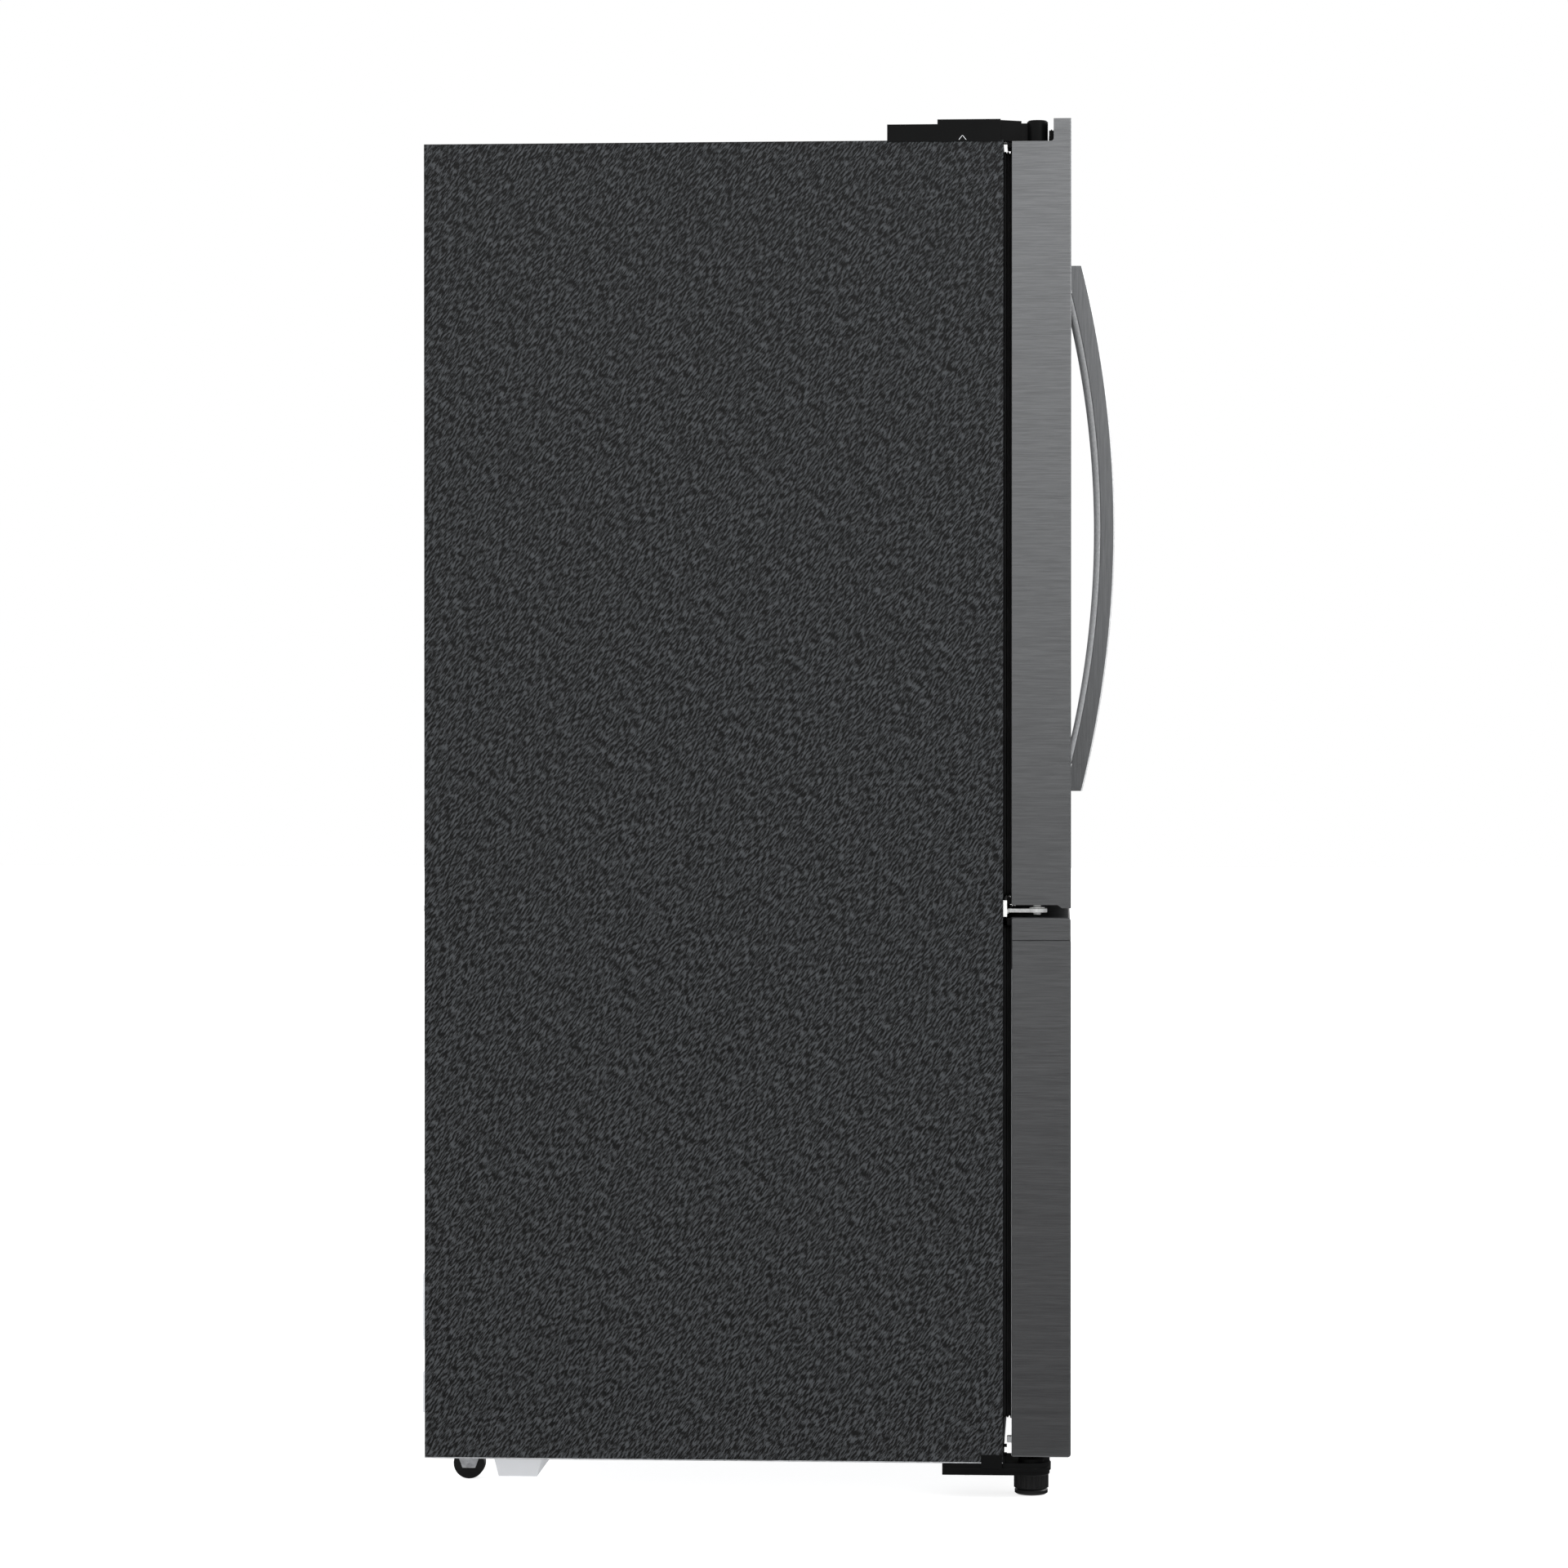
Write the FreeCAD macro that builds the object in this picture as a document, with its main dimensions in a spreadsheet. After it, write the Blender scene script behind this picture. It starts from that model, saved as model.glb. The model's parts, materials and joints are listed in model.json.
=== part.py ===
import FreeCAD, Part
import math
import os
import Sketcher

# French door refrigerator with a freezer drawer below, in millimetres.
# +Z is up, the doors face -Y, +X is to the right of someone facing the doors.
# The origin is on the floor at the centre of the object's bounding box.

doc = FreeCAD.newDocument("FrenchDoorRefrigerator")
sheet = doc.addObject("Spreadsheet::Sheet", "Sizes")


# ---------------------------------------------------------------- sizes

class Size:
    """A number together with the sheet expression that gives it."""

    def __init__(self, value, text):
        self.value = value
        self.text = text

    def join(self, other, sign, value):
        return Size(value, f"({self.text} {sign} {size_of(other).text})")

    def __add__(self, other):
        return self.join(other, "+", self.value + size_of(other).value)

    def __sub__(self, other):
        return self.join(other, "-", self.value - size_of(other).value)

    def __mul__(self, other):
        return self.join(other, "*", self.value * size_of(other).value)

    def __truediv__(self, other):
        return self.join(other, "/", self.value / size_of(other).value)

    def __radd__(self, other):
        return size_of(other) + self

    def __rsub__(self, other):
        return size_of(other) - self

    def __rmul__(self, other):
        return size_of(other) * self

    def __neg__(self):
        return Size(-self.value, f"(0 - {self.text})")


def size_of(number):
    """Plain numbers become sizes too, so that both can be mixed."""
    return number if isinstance(number, Size) else Size(float(number), repr(float(number)))


row_count = 0


def driving(alias, value):
    """Put one driving dimension in the sheet and return it."""
    global row_count
    row_count += 1
    sheet.set(f"A{row_count}", alias)
    sheet.set(f"B{row_count}", str(value))
    sheet.setAlias(f"B{row_count}", alias)
    return Size(float(value), "Sizes." + alias)


# cabinet
case_width = driving("caseWidth", 830.4)
case_front = driving("caseFront", -306)
case_rear = driving("caseRear", 441.5)
case_bottom = driving("caseBottom", 48.5)
case_top = driving("caseTop", 1747)
steel = driving("steelSheet", 1.2)
flange = driving("frontFlange", 44)
liner = driving("linerWall", 2)
side_insulation = driving("sideInsulation", 50.2)
fresh_floor = driving("freshFloor", 806)
fresh_ceiling = driving("freshCeiling", 1700)
freezer_floor = driving("freezerFloor", 122)
freezer_ceiling = driving("freezerCeiling", 710)
inner_rear = driving("innerRear", 373)
machine_front = driving("machineFront", 190)
machine_top = driving("machineTop", 300)
# doors and drawer front
door_front = driving("doorFront", -393)
door_rear = driving("doorRear", -317)
door_bottom = driving("doorBottom", 766)
door_top = driving("doorTop", 1745)
door_gap = driving("doorGap", 5)
lip_top = driving("lipTop", 1774)
lip_depth = driving("lipDepth", 22.7)
front_lip_bottom = driving("frontLipBottom", 762)
drawer_bottom = driving("drawerBottom", 57)
drawer_top = driving("drawerTop", 750)
grip_seam = driving("gripSeam", 720)
gasket_width = driving("gasketWidth", 14)
gasket_inset = driving("gasketInset", 29.2)
dyke_depth = driving("dykeDepth", 30)
# hinges
hinge_side = driving("hingeSide", 389)
hinge_back = driving("hingeBack", -349.5)
pin_radius = driving("pinRadius", 5)
running_gap = driving("runningGap", 0.06)
# handles
handle_side = driving("handleSide", 45)
handle_width = driving("handleWidth", 25)
handle_bottom = driving("handleBottom", 909)
handle_top = driving("handleTop", 1623)
handle_reach = driving("handleReach", 60)
handle_end = driving("handleEnd", 16)
handle_gap = driving("handleGap", 32.5)
handle_foot = driving("handleFoot", 68)
# feet and rollers
roller_radius = driving("rollerRadius", 20.5)
roller_side = driving("rollerSide", 268)
roller_back = driving("rollerBack", 402)
foot_side = driving("footSide", 350)
foot_back = driving("footBack", -342)
foot_radius = driving("footRadius", 23.5)
foot_height = driving("footHeight", 33)
# shelves and drawers inside
shelf_thickness = driving("shelfThickness", 16)
shelf_front = driving("shelfFront", -150)
shelf_rear = driving("shelfRear", 345)
crisper_side = driving("crisperSide", 308)
crisper_front = driving("crisperFront", -185)
crisper_depth = driving("crisperDepth", 435)
crisper_height = driving("crisperHeight", 176)
bin_depth = driving("binDepth", 108)
bin_height = driving("binHeight", 105)
bin_wall = driving("binWall", 2.5)

doc.recompute()

half_case = case_width / 2
inner_side = half_case - side_insulation
front_face = case_front + steel
liner_front = front_face + liner
panel_bottom = case_bottom + 1.5
door_outer = half_case
door_inner = door_gap / 2

nodes = {}


# ---------------------------------------------------------------- helpers

def bind(item, name, number):
    """Set a property through an expression on the sheet."""
    item.setExpression(name, size_of(number).text)


def block(name, xs, ys, zs):
    """A box between two corners."""
    box = doc.addObject("Part::Box", name)
    for length, axis, (low, high) in zip(("Length", "Width", "Height"), "xyz", (xs, ys, zs)):
        bind(box, length, size_of(high) - low)
        bind(box, "Placement.Base." + axis, low)
    return box


def rod(name, radius, axis, centre, low, high):
    """A cylinder along an axis; centre gives the two other coordinates in order."""
    cylinder = doc.addObject("Part::Cylinder", name)
    turns = {
        "x": FreeCAD.Rotation(FreeCAD.Vector(0, 1, 0), 90),
        "y": FreeCAD.Rotation(FreeCAD.Vector(1, 0, 0), -90),
        "z": FreeCAD.Rotation(),
    }
    cylinder.Placement = FreeCAD.Placement(FreeCAD.Vector(), turns[axis])
    others = [a for a in "xyz" if a != axis]
    bind(cylinder, "Radius", radius)
    bind(cylinder, "Height", size_of(high) - low)
    bind(cylinder, "Placement.Base." + axis, low)
    for other, place in zip(others, centre):
        bind(cylinder, "Placement.Base." + other, place)
    return cylinder


def fuse(name, *pieces):
    joined = doc.addObject("Part::MultiFuse", name)
    joined.Shapes = list(pieces)
    return joined


def cut(name, base, *tools):
    taken = tools[0] if len(tools) == 1 else fuse(name + "_tools", *tools)
    result = doc.addObject("Part::Cut", name)
    result.Base = base
    result.Tool = taken
    return result


def group(name, *pieces):
    """Separate solids that share one node."""
    result = doc.addObject("Part::Compound", name)
    result.Links = list(pieces)
    return result


def node(label, item):
    """Register a finished sub-part under the name of its file."""
    item.Label = label
    nodes[label] = item
    return item


def span(side, near, far):
    """X range on one side: near and far are distances from the middle plane."""
    return (near, far) if side > 0 else (-size_of(far), -size_of(near))


def sketch_on(body, role, name):
    sketch = body.newObject("Sketcher::SketchObject", name)
    plane = next(f for f in body.Origin.OriginFeatures if f.Role == role)
    sketch.AttachmentSupport = [(plane, "")]
    sketch.MapMode = "FlatFace"
    return sketch


def hold(sketch, kind, edge, point, number):
    """Hold one coordinate of one corner at a size."""
    number = size_of(number)
    index = sketch.addConstraint(Sketcher.Constraint(kind, edge, point, number.value))
    sketch.setExpression(f"Constraints[{index}]", number.text)


def outline(sketch, points):
    """A closed outline of straight edges with every corner held."""
    corners = [FreeCAD.Vector(size_of(a).value, size_of(b).value, 0) for a, b in points]
    count = len(corners)
    for i in range(count):
        sketch.addGeometry(Part.LineSegment(corners[i], corners[(i + 1) % count]), False)
    for i in range(count):
        sketch.addConstraint(Sketcher.Constraint("Coincident", i, 2, (i + 1) % count, 1))
    for i, (a, b) in enumerate(points):
        hold(sketch, "DistanceX", i, 1, a)
        hold(sketch, "DistanceY", i, 1, b)


def extrude(name, role, points, low, high):
    """A body padded from an outline between two planes parallel to an origin plane."""
    body = doc.addObject("PartDesign::Body", name)
    sketch = sketch_on(body, role, name + "_outline")
    outline(sketch, points)
    start = -size_of(high) if role == "XZ_Plane" else low
    bind(sketch, "AttachmentOffset.Base.z", start)
    pad = body.newObject("PartDesign::Pad", name + "_pad")
    pad.Profile = sketch
    bind(pad, "Length", size_of(high) - low)
    return body


def revolve(name, points, x, y):
    """A body turned about a vertical line at x, y; points are radius and height."""
    body = doc.addObject("PartDesign::Body", name)
    sketch = sketch_on(body, "XZ_Plane", name + "_outline")
    outline(sketch, points)
    turned = body.newObject("PartDesign::Revolution", name + "_turn")
    turned.Profile = sketch
    turned.ReferenceAxis = (sketch, ["V_Axis"])
    turned.Angle = 360
    bind(body, "Placement.Base.x", x)
    bind(body, "Placement.Base.y", y)
    return body


def round_edges(body, radius, wanted, kind="PartDesign::Fillet"):
    """Fillet or chamfer the edges of a body's tip that a test picks out."""
    doc.recompute()
    tip = body.Tip
    names = [f"Edge{i + 1}" for i, edge in enumerate(tip.Shape.Edges) if wanted(edge)]
    dressed = body.newObject(kind, f"{body.Name}_{kind[12:].lower()}_{len(body.Group)}")
    dressed.Base = (tip, names)
    bind(dressed, "Radius" if kind.endswith("Fillet") else "Size", radius)
    body.Tip = dressed
    return body


def along(edge, axis):
    """True for a straight edge parallel to an axis."""
    if edge.Degenerated or not isinstance(edge.Curve, Part.Line):
        return False
    return abs(getattr(edge.Curve.Direction, axis)) > 0.999


def tub(name, xs, ys, zs, wall, floor):
    """An open-topped box."""
    outer = block(name + "_outer", xs, ys, zs)
    inner = block(
        name + "_inner",
        (size_of(xs[0]) + wall, size_of(xs[1]) - wall),
        (size_of(ys[0]) + wall, size_of(ys[1]) - wall),
        (size_of(zs[0]) + floor, size_of(zs[1]) + 10),
    )
    return cut(name, outer, inner)


def ring(name, xs, ys, zs, width):
    """A rectangular frame lying in the XZ plane."""
    outer = block(name + "_outer", xs, ys, zs)
    inner = block(
        name + "_inner",
        (size_of(xs[0]) + width, size_of(xs[1]) - width),
        (size_of(ys[0]) - 1, size_of(ys[1]) + 1),
        (size_of(zs[0]) + width, size_of(zs[1]) - width),
    )
    return cut(name, outer, inner)


# ---------------------------------------------------------------- cabinet case

def side_panel(side, label):
    """Painted steel side with its front edge folded inwards over the insulation."""
    points = [
        (side * half_case, case_front),
        (side * half_case, case_rear),
        (side * (half_case - steel), case_rear),
        (side * (half_case - steel), front_face),
        (side * (half_case - flange), front_face),
        (side * (half_case - flange), case_front),
    ]
    body = extrude("SidePanel" + label, "XY_Plane", points, panel_bottom, case_top)
    outer = side * half_case.value

    def front_corner(edge):
        middle = edge.CenterOfMass
        return along(edge, "z") and abs(middle.x - outer) < 0.1 and abs(middle.y - case_front.value) < 0.1

    round_edges(body, 1.1, front_corner)
    node("side_panel_" + label.lower(), body)


def case_panels():
    inside = half_case - steel
    flange_side = half_case - flange
    top = block("TopSheet", (-inside, inside), (front_face, case_rear), (case_top - steel, case_top))
    nose = block("TopNose", (-flange_side, flange_side), (case_front, front_face),
                 (fresh_ceiling + 10, case_top))
    node("top_panel", fuse("TopPanel", top, nose))
    node("back_panel", block("BackPanel", (-inside, inside), (case_rear - 1, case_rear),
                             (machine_top, case_top - steel)))
    plate = block("BasePlateSheet", (-half_case, half_case), (case_front, case_rear),
                  (case_bottom, panel_bottom))
    pan_hole = block("PanHole", (-331, -129), (297, 364), (case_bottom - 1, panel_bottom + 1))
    node("base_plate", cut("BasePlate", plate, pan_hole))
    strips = [
        block("CentreRail", (-flange_side, flange_side), (case_front, front_face),
              (freezer_ceiling - 8, fresh_floor - 6)),
        block("BottomRail", (-flange_side, flange_side), (case_front, front_face),
              (panel_bottom, freezer_floor + 4)),
    ]
    node("front_rails", group("FrontRails", *strips))


def fresh_liner():
    """White inner shell of the upper compartment, with ledges beside the crisper drawers."""
    side = inner_side
    shell = block("FreshOuter", (-side - liner, side + liner), (front_face, inner_rear + liner),
                  (fresh_floor - liner, fresh_ceiling + liner))
    rim = block("FreshRim", (-side - 30, side + 30), (front_face, liner_front),
                (fresh_floor - 24, fresh_ceiling + 24))
    hollow = block("FreshHollow", (-side, side), (front_face - 1, inner_rear),
                   (fresh_floor, fresh_ceiling))
    shell = cut("FreshShell", fuse("FreshSolid", shell, rim), hollow)
    ledges = []
    for index, side_sign in enumerate((-1, 1)):
        ledges.append(block(f"CrisperLedge{index}", span(side_sign, crisper_side + 4, side),
                            (crisper_front, crisper_front + crisper_depth + 40),
                            (fresh_floor, fresh_floor + 70)))
        for level in shelf_levels:
            ledges.append(block(f"ShelfRib{index}_{level}", span(side_sign, side - 9, side),
                                (shelf_front + 20, shelf_rear - 10), (level - 8, level)))
        ledges.append(block(f"CoverRib{index}", span(side_sign, side - 9, side),
                            (crisper_front + 15, shelf_rear - 10), (cover_level - 8, cover_level)))
    node("fresh_food_liner", fuse("FreshFoodLiner", shell, *ledges))


def freezer_liner():
    """White inner shell of the freezer, stepped over the machine compartment."""
    side = inner_side - 4
    low = block("FreezerLowOuter", (-side - liner, side + liner), (front_face, machine_front - 2),
                (freezer_floor - liner, freezer_ceiling + liner))
    high = block("FreezerHighOuter", (-side - liner, side + liner), (machine_front - 10, inner_rear + liner),
                 (machine_top + 12, freezer_ceiling + liner))
    rim = block("FreezerRim", (-side - 30, side + 30), (front_face, liner_front),
                (freezer_floor - 24, freezer_ceiling + 24))
    low_hollow = block("FreezerLowHollow", (-side, side), (front_face - 1, machine_front - 4),
                       (freezer_floor, freezer_ceiling))
    high_hollow = block("FreezerHighHollow", (-side, side), (machine_front - 20, inner_rear),
                        (machine_top + 14, freezer_ceiling))
    shell = cut("FreezerShell", fuse("FreezerSolid", low, high, rim), low_hollow, high_hollow)
    ribs = [
        block(f"TrayRib{i}", span(s, side - 18, side), (-290, inner_rear - 58),
              (tray_level - 8, tray_level - 1))
        for i, s in enumerate((-1, 1))
    ]
    node("freezer_liner", fuse("FreezerLiner", shell, *ribs))


def insulation():
    """Foam between the case and the two inner shells, around the machine compartment."""
    inside = half_case - steel
    solid = block("FoamBlock", (-inside, inside), (front_face, case_rear - 1),
                  (panel_bottom, case_top - steel))
    fresh = inner_side + liner
    freezer = inner_side - 4 + liner
    tools = [
        block("FoamFresh", (-fresh, fresh), (front_face - 1, inner_rear + liner),
              (fresh_floor - liner, fresh_ceiling + liner)),
        block("FoamFreshRim", (-inner_side - 30, inner_side + 30), (front_face - 1, liner_front),
              (fresh_floor - 24, fresh_ceiling + 24)),
        block("FoamFreezerLow", (-freezer, freezer), (front_face - 1, machine_front - 2),
              (freezer_floor - liner, freezer_ceiling + liner)),
        block("FoamFreezerHigh", (-freezer, freezer), (machine_front - 10, inner_rear + liner),
              (machine_top + 12, freezer_ceiling + liner)),
        block("FoamFreezerRim", (-inner_side - 26, inner_side + 26), (front_face - 1, liner_front),
              (freezer_floor - 24, freezer_ceiling + 24)),
        block("FoamMachine", (-inside - 1, inside + 1), (machine_front, case_rear + 1),
              (panel_bottom - 1, machine_top)),
    ]
    node("foam_core", cut("FoamCore", solid, *tools))


def rear_cover():
    """Pressed cover over the machine compartment with two raised fields and louvres."""
    half_width = half_case - 6
    bulge_half = half_case - 60
    plate = block("RearPlate", (-half_width, half_width), (case_rear - 1, case_rear), (56, machine_top))
    proud = 11.5
    skin = 1.5
    field = (-bulge_half, bulge_half)
    inside = (-bulge_half + skin, bulge_half - skin)
    upper = block("RearBulgeUpper", field, (case_rear, case_rear + proud), (194, 280))
    lower = block("RearBulgeLower", field, (case_rear, case_rear + proud), (99, 151))
    hollow_depth = (case_rear - 2, case_rear + proud - skin)
    hollows = [
        block("RearHollowUpper", inside, hollow_depth, (194 + skin, 280 - skin)),
        block("RearHollowLower", inside, hollow_depth, (99 + skin, 151 - skin)),
    ]
    slots = []
    for row, height in enumerate((206, 222, 238, 254)):
        for column in range(7):
            left = -315 + column * 92
            slots.append(block(f"Louvre{row}_{column}", (left, left + 74), (case_rear + 5, case_rear + 13),
                               (height, height + 7)))
    node("rear_cover", cut("RearCover", fuse("RearSolid", plate, upper, lower), *hollows, *slots))


# ---------------------------------------------------------------- hinges

def top_hinge(side, label):
    """Steel plate on the cabinet that carries the upper pin of a door, and its plastic cover."""
    axis_x = side * hinge_side
    plate_top = case_top + 3
    plate = block("TopPlate" + label, span(side, hinge_side - 58, hinge_side + 18),
                  (hinge_back + 55, hinge_back + 175), (case_top, plate_top))
    arm = block("TopArm" + label, span(side, hinge_side - 13, hinge_side + 3),
                (hinge_back, hinge_back + 56), (case_top, plate_top))
    disc = rod("TopDisc" + label, 10.8, "z", (axis_x, hinge_back), case_top, plate_top)
    pin = rod("TopPin" + label, pin_radius, "z", (axis_x, hinge_back), door_top - 16, case_top + 1)
    screws = [
        rod(f"TopScrew{label}{i}", 6, "z", (side * (hinge_side - dx), hinge_back + dy),
            case_top, case_top + 7)
        for i, (dx, dy) in enumerate(((-4, 80), (36, 80), (16, 150)))
    ]
    node("top_hinge_" + label.lower(), fuse("TopHinge" + label, plate, arm, disc, pin, *screws))

    edge = hinge_side + 27
    plan = [
        (side * edge, hinge_back + 192.5),
        (side * edge, hinge_back + 47),
        (side * (hinge_side + 17), hinge_back + 47),
        (side * (hinge_side + 5), hinge_back + 20.5),
        (side * (hinge_side - 22), hinge_back + 20.5),
        (side * (hinge_side - 22), hinge_back + 47),
        (side * (hinge_side - 73), hinge_back + 47),
        (side * (hinge_side - 73), hinge_back + 192.5),
    ]
    tall = extrude("CoverTall" + label, "XY_Plane", plan, case_top, case_top + 26.5)
    step = block("CoverStep" + label, span(side, hinge_side - 80, edge + 5),
                 (hinge_back + 128, hinge_back + 200), (case_top + 20.5, case_top + 30))
    skirt = block("CoverSkirt" + label, span(side, half_case, half_case + 0.8),
                  (hinge_back + 47, hinge_back + 192.5), (case_top - 2, case_top))
    neck = block("CoverNeck" + label, span(side, hinge_side - 14.5, hinge_side + 5),
                 (hinge_back + 9, hinge_back + 20.5), (case_top, case_top + 23.5))
    cap = rod("CoverCap" + label, 13.5, "z", (axis_x, hinge_back), case_top, case_top + 25.4)
    crown = rod("CoverCrown" + label, 12, "z", (axis_x, hinge_back), case_top + 25.4, case_top + 26.8)
    room = block("CoverRoom" + label, span(side, hinge_side - 71, hinge_side + 24.5),
                 (hinge_back + 49, hinge_back + 190), (case_top - 1, case_top + 16.5))
    room_tall = block("CoverRoomTall" + label, span(side, hinge_side - 71, hinge_side + 24.5),
                      (hinge_back + 49, hinge_back + 126), (case_top + 16, case_top + 24.5))
    arm_room = block("CoverArmRoom" + label, span(side, hinge_side - 13.2, hinge_side + 3.2),
                     (hinge_back, hinge_back + 50), (case_top - 1, plate_top + 0.2))
    disc_room = rod("CoverDiscRoom" + label, 11, "z", (axis_x, hinge_back), case_top - 1, plate_top + 0.2)
    shell = cut("CoverShell" + label, fuse("CoverSolid" + label, tall, skirt, neck, cap, crown),
                step, room, room_tall, arm_room, disc_room)
    node("hinge_cover_" + label.lower(), shell)


def centre_hinge(side, label):
    """Zinc-plated bracket in the gap under a door, with the lower pin of the door."""
    axis_x = side * hinge_side
    low = block("CentreFlange" + label, span(side, hinge_side - 13, hinge_side + 24),
                (case_front - 5, case_front), (751, 764.5))
    tab = block("CentreTab" + label, span(side, hinge_side + 18.5, hinge_side + 24),
                (case_front - 5, case_front), (764, 772))
    arm = block("CentreArm" + label, span(side, hinge_side - 9, hinge_side + 9),
                (hinge_back, case_front - 2), (756, 761))
    tip = rod("CentreTip" + label, 13, "z", (axis_x, hinge_back), 756, 761)
    boss = rod("CentreBoss" + label, 10, "z", (axis_x, hinge_back), 760, 763)
    pin = rod("CentrePin" + label, pin_radius, "z", (axis_x, hinge_back), 762, door_bottom + 18)
    nub = rod("CentreNub" + label, 4.7, "z", (axis_x, hinge_back), 753, 757)
    node("centre_hinge_" + label.lower(), fuse("CentreHinge" + label, low, tab, arm, tip, boss, pin, nub))


def leg_bracket(side, label):
    """Black bracket under the front corner that holds the levelling foot, with its corner clip."""
    axis_x = side * hinge_side
    stud_x = side * foot_side
    bodies = []
    for name, radius, low, high in (("Base", 24, foot_height, case_bottom),
                                    ("Ridge", 25.5, foot_height + 5, foot_height + 9)):
        bodies.append(block(f"Leg{name}{label}", span(side, foot_side - radius, hinge_side + radius),
                            (foot_back, -228), (low, high)))
        bodies.append(block(f"Leg{name}Front{label}", span(side, foot_side, hinge_side),
                            (foot_back - radius, foot_back), (low, high)))
        bodies.append(rod(f"Leg{name}Outer{label}", radius, "z", (axis_x, foot_back), low, high))
        bodies.append(rod(f"Leg{name}Inner{label}", radius, "z", (stud_x, foot_back), low, high))
    disc = rod("LegDisc" + label, 16.5, "z", (axis_x, foot_back), case_bottom, case_bottom + 4)
    nub = rod("LegNub" + label, 4, "z", (axis_x, foot_back), case_bottom + 3, case_bottom + 6)
    clip = block("LegClip" + label, span(side, half_case, half_case + 0.8),
                 (case_front + 1, case_front + 28), (44, case_bottom + 11))
    clip_foot = block("LegClipFoot" + label, span(side, hinge_side + 20, half_case + 0.8),
                      (case_front + 1, case_front + 28), (42, case_bottom))
    clip_front = block("LegClipFront" + label, span(side, hinge_side + 14, half_case + 0.8),
                       (case_front - 1.5, case_front), (44, case_bottom + 10))
    pins = [
        rod(f"LegPin{label}{i}", 2.2, "y", (side * (hinge_side + 6), height), case_front - 5, case_front)
        for i, height in enumerate((58, 69))
    ]
    front_plate = block("LegFront" + label, span(side, hinge_side - 10, hinge_side + 15),
                        (case_front - 1.5, case_front), (case_bottom - 2, 74))
    bore = rod("LegBore" + label, pin_radius + running_gap, "z", (stud_x, foot_back),
               foot_height - 1, case_bottom - 3)
    solid = fuse("LegSolid" + label, *bodies, disc, nub, clip, clip_foot, clip_front, front_plate, *pins)
    node("leg_bracket_" + label.lower(), cut("LegBracket" + label, solid, bore))


def levelling_foot(side, label):
    """Fluted knob on a threaded stud."""
    profile = [
        (0, 0), (foot_radius - 5, 0), (foot_radius - 2, 2), (foot_radius - 2, 6), (foot_radius - 3.5, 8),
        (foot_radius - 1, 9), (foot_radius - 1, 26), (foot_radius, 27), (foot_radius, foot_height - 0.5),
        (pin_radius, foot_height - 0.5), (pin_radius, case_bottom - 5), (0, case_bottom - 5),
    ]
    knob = revolve("FootKnob" + label, profile, side * foot_side, foot_back)
    doc.recompute()
    flute_count = 18
    flutes = []
    for index in range(flute_count):
        angle = 2 * math.pi * index / flute_count
        x = side * foot_side + (foot_radius + 0.6) * math.cos(angle)
        y = foot_back + (foot_radius + 0.6) * math.sin(angle)
        flutes.append(rod(f"Flute{label}{index}", 2.6, "z", (x, y), 10, 25))
    node("leveling_foot_" + label.lower(), cut("LevelingFoot" + label, knob, *flutes))


def roller(side, label):
    """Rear roller turning on a steel axle that its bracket holds."""
    inside = roller_side - 9
    outside = roller_side + 9
    centre = (roller_back, roller_radius)
    tyre = rod("RollerTyre" + label, roller_radius, "x", centre, *span(side, inside, outside))
    middle = span(side, roller_side - 2, roller_side + 2)
    groove = rod("RollerGroove" + label, roller_radius + 1, "x", centre, *middle)
    core = rod("RollerCore" + label, roller_radius - 2, "x", centre, *middle)
    bore = rod("RollerBore" + label, 3 + running_gap, "x", centre, *span(side, inside - 1, outside + 1))
    ring_cut = cut("RollerRing" + label, groove, core)
    node("roller_" + label.lower(), cut("Roller" + label, tyre, ring_cut, bore))


def roller_brackets():
    brackets = []
    for side, label in sides:
        cheeks = []
        for index, offset in enumerate((-11.5, 9.5)):
            points = [
                (roller_back - 21, case_bottom), (roller_back + 21, case_bottom),
                (roller_back + 8.5, roller_radius - 6), (roller_back - 8.5, roller_radius - 6),
            ]
            place = side * roller_side + offset
            cheeks.append(extrude(f"RollerCheek{label}{index}", "YZ_Plane", points, place, place + 2))
        bridge = block("RollerBridge" + label, span(side, roller_side - 11.5, roller_side + 11.5),
                       (roller_back - 21, roller_back + 21), (case_bottom - 2, case_bottom))
        axle = rod("RollerAxle" + label, 3, "x", (roller_back, roller_radius),
                   *span(side, roller_side - 13, roller_side + 13))
        brackets.append(fuse("RollerBracket" + label, bridge, axle, *cheeks))
    node("roller_brackets", group("RollerBrackets", *brackets))


# ---------------------------------------------------------------- machine compartment

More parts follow.
